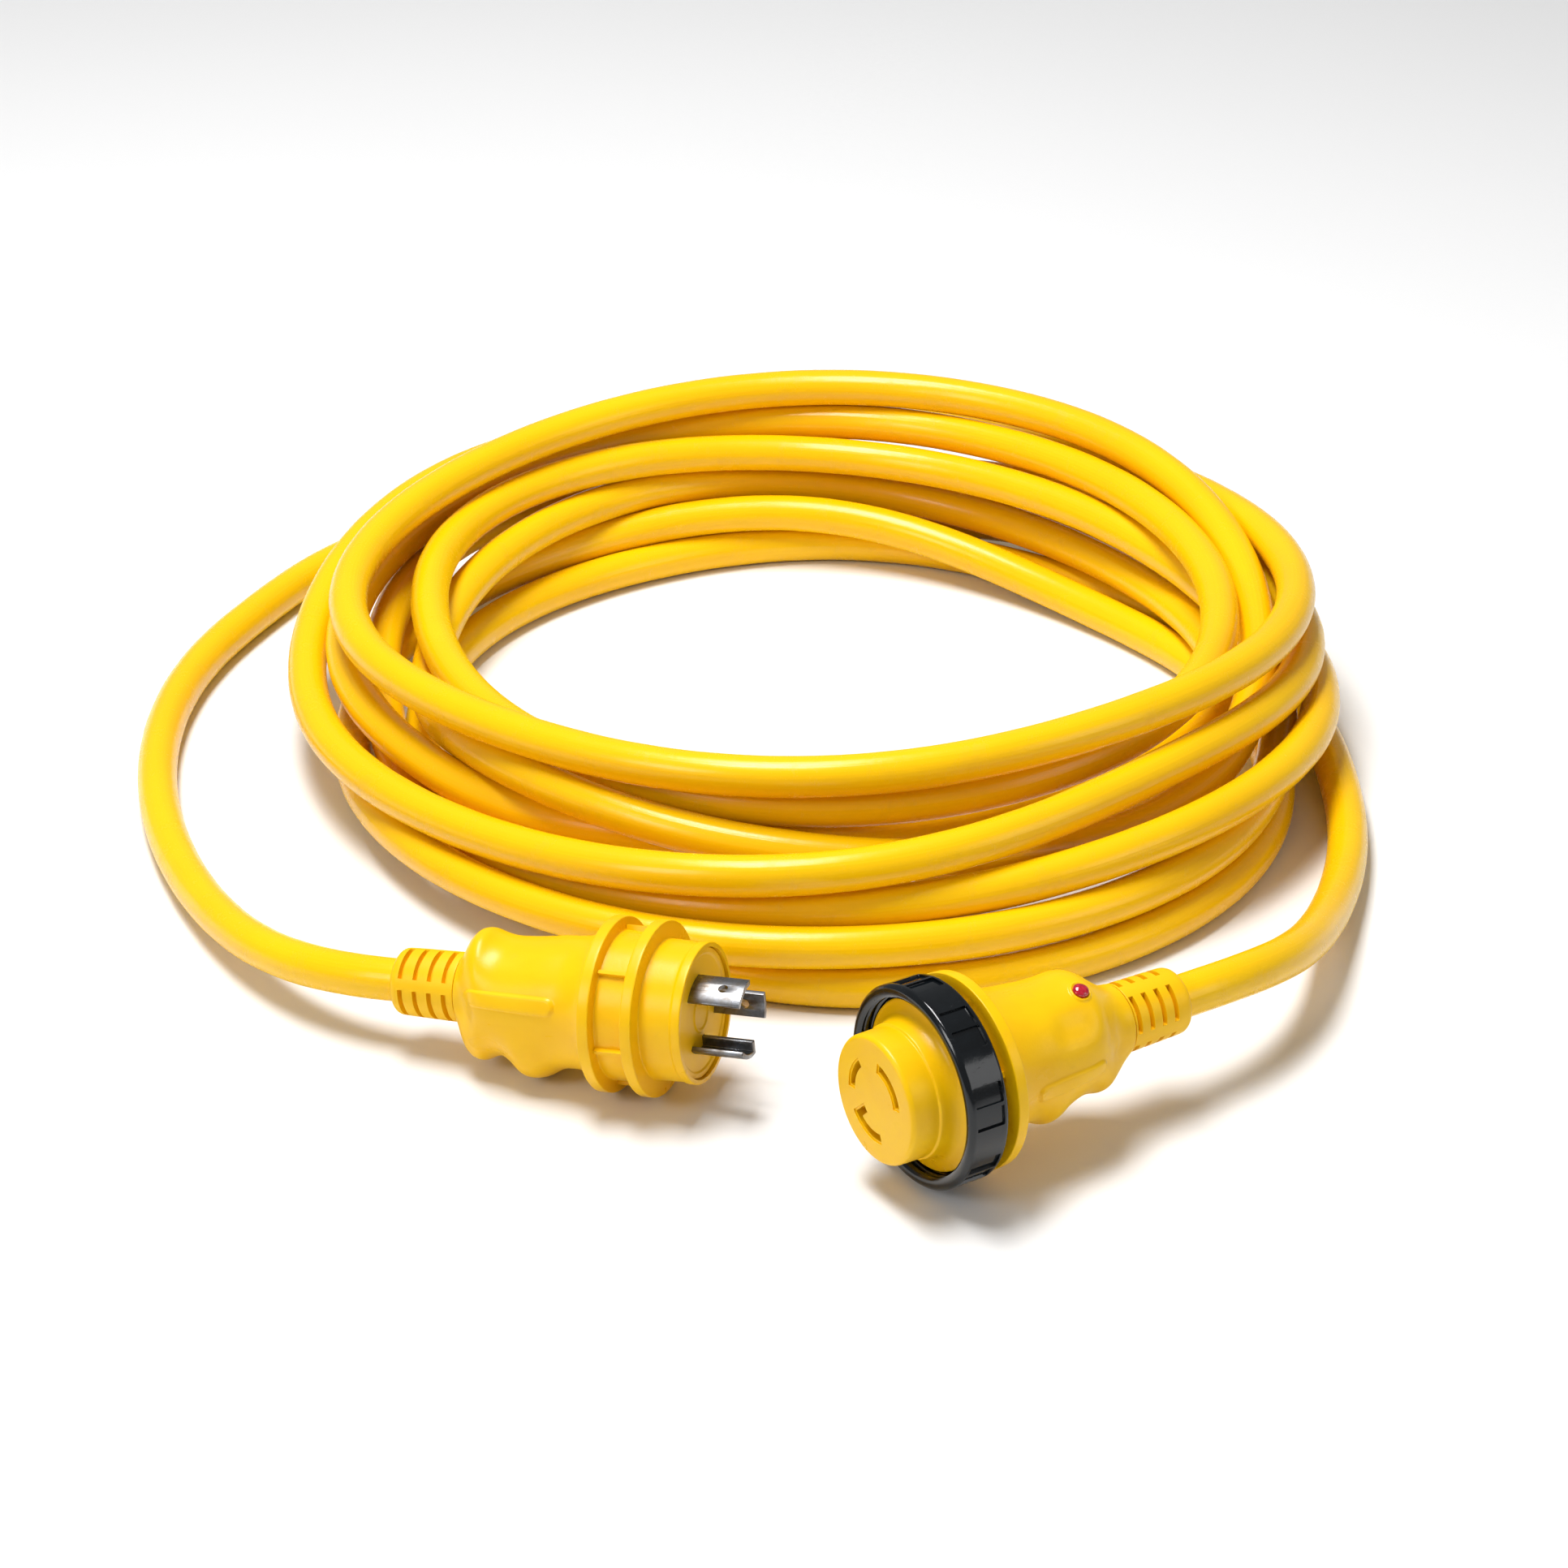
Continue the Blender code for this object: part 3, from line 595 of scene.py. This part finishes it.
def laid(drawn):
    """Lay the cord: it keeps near the drawn line, bends stiffly, and rests on the floor and on itself.

    The line's offset from the drawn one is smoothed over a reach of cord, sinks a little under its weight,
    and is pushed apart wherever two stretches are nearer than a diameter, over and over.
    """
    count = len(drawn)
    held = 2  # points at each end that the boots hold
    hold = 1e4  # their weight, against 1 for the rest
    apart_by = CORD_DIAMETER + GAP
    watched = 1.5 * apart_by  # pairs nearer than this are looked at again in the next few rounds
    rounds_watched = 4
    pushes = 4  # in each round
    eager = 1.5  # how far a push goes, as a share of the overlap
    energy = bending(count)
    weights = np.ones(count)
    weights[:held] = weights[-held:] = hold

    def stiffness(reach):
        return np.diag(weights) + (reach / ROUTE_STEP) ** 4 * energy

    drawn = np.linalg.solve(stiffness(0.02), weights[:, None] * drawn)
    first, second = np.triu_indices(count, math.ceil(3 * apart_by / ROUTE_STEP))
    offset = np.zeros_like(drawn)
    for reach, rounds, sink, pull in ((0.03, 160, 1e-5, 0.01), (0.02, 80, 1e-5, 0.005), (0.012, 40, 0, 0)):
        smoother = np.linalg.inv(stiffness(reach))
        for turn in range(rounds):
            offset[:, 2] -= sink
            offset *= 1 - pull
            offset[:held] = offset[-held:] = 0
            offset = smoother @ (weights[:, None] * offset)
            line = drawn + offset
            if turn % rounds_watched == 0:
                near = ((line[first] - line[second]) ** 2).sum(1) < watched**2
                one, other = first[near], second[near]
            for _ in range(pushes):
                between = line[one] - line[other]
                distance = np.linalg.norm(between, axis=1)
                hit = distance < apart_by
                push = between[hit] * ((apart_by - distance[hit]) / (2 * distance[hit]))[:, None]
                moved, touches = np.zeros_like(line), np.zeros(count)
                for index, side in ((one[hit], 1), (other[hit], -1)):
                    np.add.at(moved, index, side * push)
                    np.add.at(touches, index, 1)
                line = line + eager * moved / np.maximum(touches, 1)[:, None]
                line[:, 2] = np.maximum(line[:, 2], CORD_RADIUS)
            offset = line - drawn
    return line


def make_cord():
    """The cord as one tube. Its three twisted conductors show through the jacket very slightly."""
    route = even_steps(cord_route(), TUBE_STEP)
    count = len(route)
    along = np.gradient(route, axis=0)
    along /= np.linalg.norm(along, axis=1)[:, None]
    side = np.cross(along[0], (0, 0, 1.0))
    sides = []
    for direction in along:
        side = side - direction * (side @ direction)
        side /= np.linalg.norm(side)
        sides.append(side)
    sides = np.array(sides)
    third = np.cross(along, sides)
    turn = np.linspace(0, 2 * math.pi, CORD_SIDES, endpoint=False)[None, :]
    run = (np.arange(count) * TUBE_STEP)[:, None]
    ridge_gap = 0.13  # along the cord, from one conductor's ridge to the next
    short_wave, long_wave = 0.031, 0.47
    lobes = 1 + 0.007 * np.cos(3 * turn - 2 * math.pi * run / ridge_gap)
    ripple = 1 + 0.004 * np.sin(2 * math.pi * run / short_wave) * np.sin(2 * math.pi * run / long_wave)
    radius = CORD_RADIUS * lobes * ripple
    points = (
        route[:, None, :]
        + (radius * np.cos(turn))[..., None] * sides[:, None, :]
        + (radius * np.sin(turn))[..., None] * third[:, None, :]
    ).reshape(-1, 3)
    faces, uvs = [], []
    for k in range(count - 1):
        for i in range(CORD_SIDES):
            j = (i + 1) % CORD_SIDES
            a, b = k * CORD_SIDES, (k + 1) * CORD_SIDES
            faces.append((a + i, b + i, b + j, a + j))
            for step, column in ((k, i), (k + 1, i), (k + 1, i + 1), (k, i + 1)):
                uvs += [step * TUBE_STEP, column / CORD_SIDES]
    faces.append(tuple(range(CORD_SIDES)))
    faces.append(tuple(range((count - 1) * CORD_SIDES, count * CORD_SIDES)))
    uvs += [0.0, 0.0] * (2 * CORD_SIDES)
    mesh = bpy.data.meshes.new("cord")
    mesh.from_pydata(points.tolist(), [], faces)
    mesh.uv_layers.new(name="along_cord").data.foreach_set("uv", uvs)
    mesh.shade_smooth()
    mesh.set_sharp_from_angle(angle=math.radians(60))
    cord = bpy.data.objects.new("cord", mesh)
    cord.data.materials.append(JACKET)
    bpy.context.collection.objects.link(cord)
    settle(cord, "root", "cord_yellow", "cord_coil", "cord_tail_plug", "cord_tail_connector")
    return cord, route


# ---- end pieces ----
def grip_rows(front, grip):
    """Rows (height, side, top, bottom) of an overmould: a crisp turned front, then a flowing grip."""
    corners = [(z, r, r, r) for z, r in front] + grip
    bends = [0.45] * len(front) + [9.0] * (len(grip) - 2) + [0.8, 0]
    return filled(rounded(corners, bends), 1.0)


def grip_bore(grip_end, front_depth, front_radius):
    """Inside of an overmould: the boot's seat, the cord hole, the wiring cavity and the front pocket."""
    seat, hole = BOOT_RADIUS - 1.2 * MM, CORD_RADIUS + GAP
    seat_top = grip_end + BOOT_SPIGOT + GAP
    rows = [
        (grip_end, seat), (seat_top, seat), (seat_top, hole), (grip_end + 14 * MM, hole),
        (grip_end + 20 * MM, CAVITY_RADIUS), (-front_depth, CAVITY_RADIUS), (-front_depth, front_radius),
    ]
    return [(z / MM, r / MM) for z, r in rows]


def make_plug_overmould():
    """Plug's grip with its two finger flanges, the ribbed neck between them, and the barrel."""
    barrel, flange, neck = BARREL_RADIUS / MM, FLANGE_RADIUS / MM, NECK_RADIUS / MM
    neck_top, neck_low = -19.9, -31.1
    front = [
        (0, barrel - 1.3), (0, barrel + 0.2), (-3.2, barrel + 0.2), (-3.8, barrel - 0.3), (-15.3, barrel),
        (-15.5, flange), (-19.6, flange), (neck_top, neck - 0.2), (neck_low, neck), (-31.4, flange),
        (-35.6, flange), (-36.6, 26.4),
    ]
    grip = [
        (-40, 24.2, 24.0, 24.6), (-46, 22.8, 22.4, 24.0), (-52, 22.5, 22.1, 24.6),
        (-57, 22.2, 21.5, 28.2), (-61.5, 22.0, 20.7, 29.1), (-65, 21.8, 20.3, 28.4),
        (-68.5, 21.5, 20.0, 25.0), (-73, 21.1, 19.8, 22.2), (-77.5, 20.3, 21.2, 22.8),
        (-80.5, 18.8, 23.2, 24.8), (-83.5, 15.6, 23.0, 24.6), (-86, 13.6, 20.4, 23.0),
        (-88, 12.9, 16.6, 20.0), (-90, 12.8, 13.2, 15.0), (-90.5, 12.8, 12.9, 13.4),
        (-90.5, 11.6, 11.6, 11.6),
    ]
    rows = grip_rows(front, grip)
    rib_angles = [8 + 60 * k for k in range(6)]
    rib_half, rib_height = 1.5, 1.7
    pad_angles = (160, 20)
    pad_low, pad_high, pad_height = -84, -48, 0.9

    def shape(height, side, angle, top, bottom):
        skin = swollen(side, angle, top, bottom)
        in_neck = (height < neck_top) & (height > neck_low)
        on_rib = np.min([np.abs(apart(angle, rib)) for rib in rib_angles], axis=0) <= rib_half
        skin = np.where(in_neck & on_rib, np.maximum(skin, neck + rib_height), skin)
        for centre in pad_angles:
            skin = skin + pad_height * pad(height, angle, 22.5, centre, pad_low, pad_high, 3.0, 1.1)
        return skin

    edges = [rib + side * rib_half for rib in rib_angles for side in (-1, 1)]
    angles = angles_with(144, edges, [(centre, 10) for centre in pad_angles])
    bore_radius = BARREL_RADIUS - BARREL_WALL
    bore = grip_bore(PLUG_GRIP_END, CARRIER_DEPTH + GAP, bore_radius)
    bore.append((0, bore_radius / MM))
    piece = add_mesh("plug_overmould", lathe(rows, bore, angles, shape), PLUG_FRAME, MOULDED, 35)
    return settle(piece, "root", "moulded_yellow", "plug_body")


def make_connector_overmould():
    """Connector's grip with its rear flange, the ribbed neck inside the ring, and the lamp's collar."""
    flange = REAR_FLANGE_RADIUS / MM
    neck_front, rib_front, neck_low = -22.4, -30.5, -34.3
    front = [
        (neck_front, 21.8), (neck_front, 26.6), (neck_low, 26.8), (-34.6, flange), (-38.7, flange - 0.2),
        (-39.8, 29.2),
    ]
    grip = [
        (-42.5, 27.0, 27.0, 26.4), (-47, 25.6, 25.6, 24.8), (-53, 24.4, 24.4, 23.4),
        (-57, 23.9, 24.0, 24.4), (-60.5, 23.5, 23.7, 26.3), (-64, 23.2, 23.5, 25.8),
        (-68, 22.9, 23.3, 23.3), (-72.5, 22.5, 23.4, 21.7), (-77, 21.6, 23.9, 20.9),
        (-81, 20.4, 23.5, 21.2), (-84.5, 18.4, 21.4, 22.1), (-88, 15.4, 18.4, 21.6),
        (-91.5, 13.2, 15.6, 19.2), (-95, 12.8, 13.4, 16.2), (-98, 12.7, 12.8, 14.0),
        (-99.5, 12.7, 12.7, 13.0), (-99.5, 11.6, 11.6, 11.6),
    ]
    rows = grip_rows(front, grip)
    rib_angles = [25 + 60 * k for k in range(6)]
    rib_half, rib_radius = 2.2, 28.8
    pad_angles = (-5, 185)
    pad_low, pad_high, pad_height = -81, -50, 1.0
    dent_angle, dent_z, dent_depth = 42, -70, 1.3
    light_z = LIGHT_Z / MM
    collar_radius, collar_height = 4.4, 0.55
    seat_radius, seat_depth = 3.3, 0.5

    def shape(height, side, angle, top, bottom):
        skin = swollen(side, angle, top, bottom)
        for centre in pad_angles:
            skin = skin + pad_height * pad(height, angle, 24, centre, pad_low, pad_high, 2.8, 1.2)
        for centre in (dent_angle, 180 - dent_angle):
            across = np.radians(apart(angle, centre)) * 23 / 6
            skin = skin - dent_depth * np.exp(-(across**2) - ((height - dent_z) / 8) ** 4)
        on_neck = (height < rib_front) & (height > neck_low)
        on_rib = np.min([np.abs(apart(angle, rib)) for rib in rib_angles], axis=0) <= rib_half
        skin = np.where(on_neck & on_rib, np.maximum(skin, rib_radius), skin)
        from_light = np.hypot(np.radians(apart(angle, LIGHT_ANGLE)) * 22.5, height - light_z)
        collar = collar_height * smooth_step((collar_radius - from_light) / 0.9)
        return skin + collar - seat_depth * smooth_step((seat_radius - from_light) / 0.5)

    edges = [rib + side * rib_half for rib in rib_angles for side in (-1, 1)]
    fine = [(centre, 10) for centre in pad_angles] + [(LIGHT_ANGLE, 14)]
    rows = rows_at(rows, [rib_front], 0.15)
    fine_reach = 6.5
    near_light = np.abs(rows[:, 0] - light_z) < fine_reach
    ahead = rows[rows[:, 0] > light_z + fine_reach]
    rows = np.concatenate([ahead, filled(rows[near_light], 0.5), rows[len(ahead) + near_light.sum() :]])
    bore = grip_bore(CONNECTOR_GRIP_END, -SPIGOT_END + GAP, SPIGOT_RADIUS + GAP)
    bore.append((neck_front, SPIGOT_RADIUS / MM + 0.3))
    data = lathe(rows, bore, angles_with(144, edges, fine), shape)
    piece = add_mesh("connector_overmould", data, CONNECTOR_FRAME, MOULDED, 35)
    return settle(piece, "root", "moulded_yellow", "connector_body")


def make_boot(name, grip_end, place, node, web_angle, web_half, first_slot, pitch):
    """Flexible boot: a slightly tapered sleeve with four rings of slots, four slots to a ring.

    The webs between a ring's slots reach web_half degrees each side of web_angle and every 90 degrees on.
    first_slot and pitch are in millimetres, back from the grip's end.
    """
    end, boot = grip_end / MM, BOOT_RADIUS / MM
    length, spigot = BOOT_LENGTH / MM, BOOT_SPIGOT / MM
    rear = end - length
    outline = [
        (end + spigot, boot - 1.6), (end - 0.2, boot - 1.6), (end - 0.3, boot + 0.1),
        (rear + 6, boot - 0.3), (rear + 1.6, boot - 0.5), (rear, boot - 3.2),
        (rear - 0.2, CORD_RADIUS / MM + 0.3),
    ]
    rows = filled(rounded(round_rows(outline), [0.4, 0.4, 0.3, 4, 1.6, 0.8, 0.4]), 1.0)
    slot_width, slot_depth = 1.7, 2.3
    starts = [end - first_slot - row * pitch for row in range(4)]
    webs = [web_angle + 90 * k for k in range(4)]
    slotted = rows[:, 0] < end - 0.35
    crisp = rows_at(rows[slotted], [z for start in starts for z in (start, start - slot_width)], 0.12)
    rows = np.concatenate([rows[~slotted], crisp])

    def shape(height, radius, angle, *_):
        off_web = np.min([np.abs(apart(angle, web)) for web in webs], axis=0) > web_half
        in_slot = np.any([(height < start) & (height > start - slot_width) for start in starts], axis=0)
        return np.where(in_slot & off_web, radius - slot_depth, radius)

    edges = [web + side * web_half for web in webs for side in (-1, 1)]
    inside = [(end + spigot, CORD_RADIUS / MM + 0.25)]
    data = lathe(rows, inside, angles_with(120, edges, half=0.6), shape)
    piece = add_mesh(name, data, place, BOOT_VINYL, 32)
    return settle(piece, "root", "moulded_yellow", node)


# ---- blades and slots ----
def blade_section(place, side, hook, grow):
    """Corner points of a blade's section, in metres, anticlockwise."""
    centre, width = place
    spread = math.degrees(grow / BLADE_CIRCLE)
    half = BLADE_THICKNESS / 2 + grow
    stops = np.linspace(-width / 2 - spread, width / 2 + spread, 15)

    def at(stop, radius):
        turn = math.radians(centre + side * stop)
        return Vector((radius * math.cos(turn), radius * math.sin(turn), 0))

    outer = [at(stop, BLADE_CIRCLE + half) for stop in stops]
    inner = [at(stop, BLADE_CIRCLE - half) for stop in reversed(stops)]
    if hook:
        hook_end = -width / 2 + HOOK_WIDTH + spread
        near, far = at(stops[0], BLADE_CIRCLE - half), at(hook_end, BLADE_CIRCLE - half)
        inward = -(near + far).normalized() * (HOOK_REACH + grow)
        inner = [at(stop, BLADE_CIRCLE - half) for stop in reversed(stops) if stop > hook_end + 1]
        inner += [far, far + inward, near + inward]
    return outer + inner


def prism(name, corners, low, high, place, finish):
    """Solid with a flat section, from height low to high."""
    bm = bmesh.new()
    face = bm.faces.new([bm.verts.new((*corner.xy, low)) for corner in corners])
    grown = bmesh.ops.extrude_face_region(bm, geom=[face], use_keep_orig=True)["geom"]
    top = [item for item in grown if isinstance(item, bmesh.types.BMVert)]
    bmesh.ops.translate(bm, verts=top, vec=(0, 0, high - low))
    return add_mesh(name, bm, place, finish)


def rod(name, radius, low, high, place, finish):
    """Round bar along local Z."""
    corners = []
    for turn in np.linspace(0, 2 * math.pi, 32, endpoint=False):
        corners.append(Vector((radius * math.cos(turn), radius * math.sin(turn), 0)))
    return prism(name, corners, low, high, place, finish)


def make_blades():
    """Plug's three blades: two with a locking hole, and the hooked ground blade with its longer nib."""
    root = -CARRIER_DEPTH - 4 * MM
    hole_height, hole_radius = 9.5 * MM, 1.7 * MM
    notch_radius, notch_offset = 9 * MM, 8.5 * MM
    crease = math.radians(50)
    for name, place, _, hook in POLES:
        corners = blade_section(place, -1, hook, 0.0)
        tip = BLADE_LENGTH + NIB_LENGTH if hook else BLADE_LENGTH
        blade = prism(name + "_locking_blade", corners, root, tip, PLUG_FRAME, PLATED)
        centre, width = place
        if hook:  # the inner part of the tip is set back, which leaves a longer nib on the outside
            keep = math.radians(centre + width / 2 - 20)
            away = Vector((math.cos(keep), math.sin(keep), 0)) * notch_offset
            notch_place = PLUG_FRAME @ Matrix.Translation(away)
            cut(blade, rod("notch", notch_radius, BLADE_LENGTH, tip + MM, notch_place, PLATED))
        else:
            around = Matrix.Rotation(math.radians(centre), 4, "Z")
            outward = around @ Matrix.Rotation(math.radians(90), 4, "Y")
            hole_place = PLUG_FRAME @ Matrix.Translation((0, 0, hole_height)) @ outward
            cut(blade, rod("hole", hole_radius, 5 * MM, 22 * MM, hole_place, PLATED))
        with_modifier(blade, "BEVEL", width=0.35 * MM, segments=3, limit_method="ANGLE", angle_limit=crease)
        blade.data.shade_smooth()
        blade.data.set_sharp_from_angle(angle=crease)
        settle(blade, "root", "blade_metal", name + "_blade")


def make_nose():
    """Connector's nose: the slotted face, the stepped shoulder and the flared dish, in one moulding."""
    nose, dish = NOSE_RADIUS / MM, DISH_RADIUS / MM
    outline = [
        (0, 6.0), (0, nose - 0.9), (-1.2, nose), (-10.6, nose + 0.1), (-11.0, nose + 0.8),
        (-14.6, nose + 1.1), (-17.4, nose + 2.4), (-18.8, dish - 1.8), (-19.0, dish), (-22, dish),
        (-22, SPIGOT_RADIUS / MM), (SPIGOT_END / MM, SPIGOT_RADIUS / MM),
    ]
    bends = [0, 0.6, 0.6, 0.3, 0.4, 2.2, 2.2, 0.8, 0.5, 0.5, 0.3, 0]
    rows = filled(rounded(round_rows(outline), bends), 1.6)
    data = lathe(rows, [(0, 0), (0, 0)], angles_with(144), round_section)
    piece = add_mesh("connector_slotted_nose", data, CONNECTOR_FRAME, MOULDED, 35)
    mouth = SLOT_CLEARANCE + 0.7 * MM
    for _, _, place, hook in POLES:
        for grow, depth in ((SLOT_CLEARANCE, SLOT_DEPTH), (mouth, 0.5 * MM)):
            corners = blade_section(place, 1, hook, grow)
            cut(piece, prism("slot", corners, -depth, 2 * MM, CONNECTOR_FRAME, MOULDED), 35)
    return settle(piece, "root", "moulded_yellow", "connector_nose")


def make_blade_carrier():
    """Plug's face inside the barrel: a disc with a raised rim and a low hub, cut for the three blades."""
    rim = (BARREL_RADIUS - BARREL_WALL - GAP) / MM
    face, back = -FACE_RECESS / MM + 1.4, -CARRIER_DEPTH / MM
    outline = [
        (face - 0.6, 1.0), (face - 0.6, 5.4), (face - 0.1, 5.9), (face - 0.1, 6.6), (face - 0.6, 7.1),
        (face - 0.6, rim - 2.4), (face, rim - 1.8), (face, rim), (back, rim),
    ]
    rows = filled(rounded(round_rows(outline), [0.25] * len(outline)), 1.6)
    data = lathe(rows, [(0, 0), (0, 0)], angles_with(120), round_section)
    piece = add_mesh("plug_blade_face", data, PLUG_FRAME, FACE_VINYL, 35)
    for _, place, _, hook in POLES:
        corners = blade_section(place, -1, hook, 0.12 * MM)
        cut(piece, prism("slot", corners, -20 * MM, 2 * MM, PLUG_FRAME, FACE_VINYL), 35)
    return settle(piece, "root", "moulded_yellow", "plug_blade_carrier")


def make_sealing_ring():
    """Threaded ring: eight pairs of grip recesses outside, and a real screw thread inside."""
    front, rear = RING_FRONT / MM, RING_REAR / MM
    outer, bore = RING_RADIUS / MM, RING_BORE / MM
    outline = [
        (front, bore + 1.6), (front, outer - 1.4), (front - 1.3, outer), (rear + 1.0, outer),
        (rear, outer - 1.0), (rear, LIP_RADIUS / MM),
    ]
    skin_rows = filled(rounded(round_rows(outline), [0, 0.7, 0.7, 0.6, 0.6, 0]), 1.2)
    recess_top, recess_low = front - 2.6, rear + 2.2
    on_front = skin_rows[:, 0] >= front - 0.05
    on_rear = skin_rows[:, 0] <= rear + 0.05
    crisp = rows_at(skin_rows[~on_front & ~on_rear], [recess_top, recess_low], 0.12)
    rows = np.concatenate([skin_rows[on_front], crisp, skin_rows[on_rear]])
    centres = [13 + 45 * k for k in range(8)]
    rib_half, group_half, recess_depth = 1.0, 12.2, 0.9

    def skin_shape(height, radius, angle):
        off = np.min([np.abs(apart(angle, centre)) for centre in centres], axis=0)
        sunk = (off > rib_half) & (off < group_half) & (height < recess_top) & (height > recess_low)
        return np.where(sunk & (radius > outer - 0.3), radius - recess_depth, radius)

    edges = [c + side * half for c in centres for side in (-1, 1) for half in (rib_half, group_half)]
    angles = angles_with(180, edges, half=0.2)
    lip, lip_end = LIP_RADIUS / MM, rear + LIP_LENGTH / MM
    thread_low, thread_high, pitch, thread_depth = lip_end + 1.0, front - 0.8, 3.0, 1.3
    thread_rows = np.arange(thread_low, thread_high, 0.3)
    inner = [(rear, lip, 0, 0), (lip_end, lip, 0, 0), (lip_end, bore, 0, 0)]
    inner += [(z, bore, 0, 0) for z in thread_rows]
    inner += [(front - 0.5, bore + 0.6, 0, 0), (front, bore + 1.6, 0, 0)]

    def shape(height, radius, angle, *_):
        phase = ((height - thread_low) / pitch - angle / 360) % 1
        groove = thread_depth * smooth_step(1 - np.abs(phase - 0.5) / 0.32)
        fade = smooth_step((height - thread_low) / 1.2) * smooth_step((thread_high - height) / 1.0)
        in_bore = (np.abs(radius - bore) < 0.01) & (height >= thread_low) & (height < thread_high)
        return np.where(in_bore, radius + groove * fade, skin_shape(height, radius, angle))

    whole = np.concatenate([rows[:-1], np.array(inner[:-1], float)])
    data = lathe(whole, [], angles, shape)
    piece = add_mesh("threaded_sealing_ring", data, CONNECTOR_FRAME, RING_NYLON, 38)
    return settle(piece, "ring", "ring_black", "sealing_ring")


def make_power_light():
    """Red lens with a low dome and a flat brim, set into the grip's collar."""
    lens = LENS_RADIUS / MM + 0.5
    outline = [(25.3, 0.4), (25.2, 1.0), (24.9, lens - 0.9), (24.3, lens - 0.1), (23.4, lens), (16, lens)]
    rows = filled(rounded(round_rows(outline), [0, 0.6, 0.8, 0.4, 0.3, 0]), 0.8)
    round_grip = Matrix.Rotation(math.radians(LIGHT_ANGLE - 90), 4, "Z")
    turn = round_grip @ Matrix.Rotation(math.radians(-90), 4, "X")
    place = CONNECTOR_FRAME @ Matrix.Translation((0, 0, LIGHT_Z)) @ turn
    data = lathe(rows, [(0, 0), (0, 0)], angles_with(48), round_section)
    return settle(add_mesh("power_light", data, place, LENS, 50), "root", "lens_red", "power_light_lens")


def finish_inner_nodes():
    """Give each CAD node that stays its own material."""
    wires = {
        "hot": insulation("wire_black", (0.02, 0.02, 0.022), (0.04, 0.04, 0.043)),
        "neutral": insulation("wire_white", (0.80, 0.80, 0.77), (0.70, 0.69, 0.65)),
        "ground": insulation("wire_green", (0.03, 0.30, 0.09), (0.05, 0.38, 0.14)),
    }
    resistor = resistor_body()
    for name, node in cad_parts.items():
        if node.hide_render:
            continue
        if name.endswith("_wire"):
            finish = wires[name.split("_")[1]]
        elif name.endswith("_crimp"):
            finish = CRIMP_METAL
        elif name.endswith("_contact"):
            finish = BRASS
        elif name.endswith("_resistor"):
            finish = resistor
        elif name.endswith("_jacket_end"):
            finish = MOULDED
        else:
            continue
        node.data.materials.clear()
        node.data.materials.append(finish)


# ---- studio ----
def area_light(name, place, aim, size, power):
    """White rectangular light of `power` watts at place, turned to aim."""
    data = bpy.data.lights.new(name, "AREA")
    data.shape = "RECTANGLE"
    data.size, data.size_y = size
    data.energy = power
    light = bpy.data.objects.new(name, data)
    light.location = place
    light.rotation_euler = (Vector(aim) - Vector(place)).to_track_quat("-Z", "Y").to_euler()
    bpy.context.collection.objects.link(light)


def make_studio():
    """Pale floor, a large light above, two weaker ones in front, and a soft white surround."""
    bm = bmesh.new()
    bmesh.ops.create_grid(bm, x_segments=8, y_segments=8, size=12)
    floor = add_mesh("floor", bm, Matrix.Translation((0, 0, -0.0002)), studio_floor())
    area_light("overhead", (-0.35, 0.25, 1.9), (0.0, 0.2, 0.0), (1.1, 0.6), 45)
    area_light("front_left", (-1.6, -1.2, 1.3), (0.0, 0.1, 0.0), (0.7, 0.7), 11)
    area_light("right_fill", (1.7, -0.6, 0.8), (0.0, 0.2, 0.0), (0.8, 0.8), 4)
    world = bpy.data.worlds.new("studio")
    world.use_nodes = True
    background = world.node_tree.nodes["Background"]
    background.inputs["Color"].default_value = (1.0, 1.0, 1.0, 1)
    background.inputs["Strength"].default_value = 0.25
    bpy.context.scene.world = world
    bpy.context.scene.view_settings.view_transform = "Standard"


def main():
    make_camera()
    cord, route = make_cord()
    plug_boot = make_boot(
        "plug_boot", PLUG_GRIP_END, PLUG_FRAME, "plug_strain_relief",
        web_angle=157, web_half=10, first_slot=2.9, pitch=5.7,
    )
    plug_pieces = [make_plug_overmould(), plug_boot]
    make_connector_overmould()
    make_boot(
        "connector_boot", CONNECTOR_GRIP_END, CONNECTOR_FRAME, "connector_strain_relief",
        web_angle=76, web_half=13, first_slot=1.0, pitch=5.3,
    )
    make_blades()
    plug_pieces.append(make_blade_carrier())
    make_nose()
    make_sealing_ring()
    make_power_light()
    finish_inner_nodes()
    make_studio()


main()
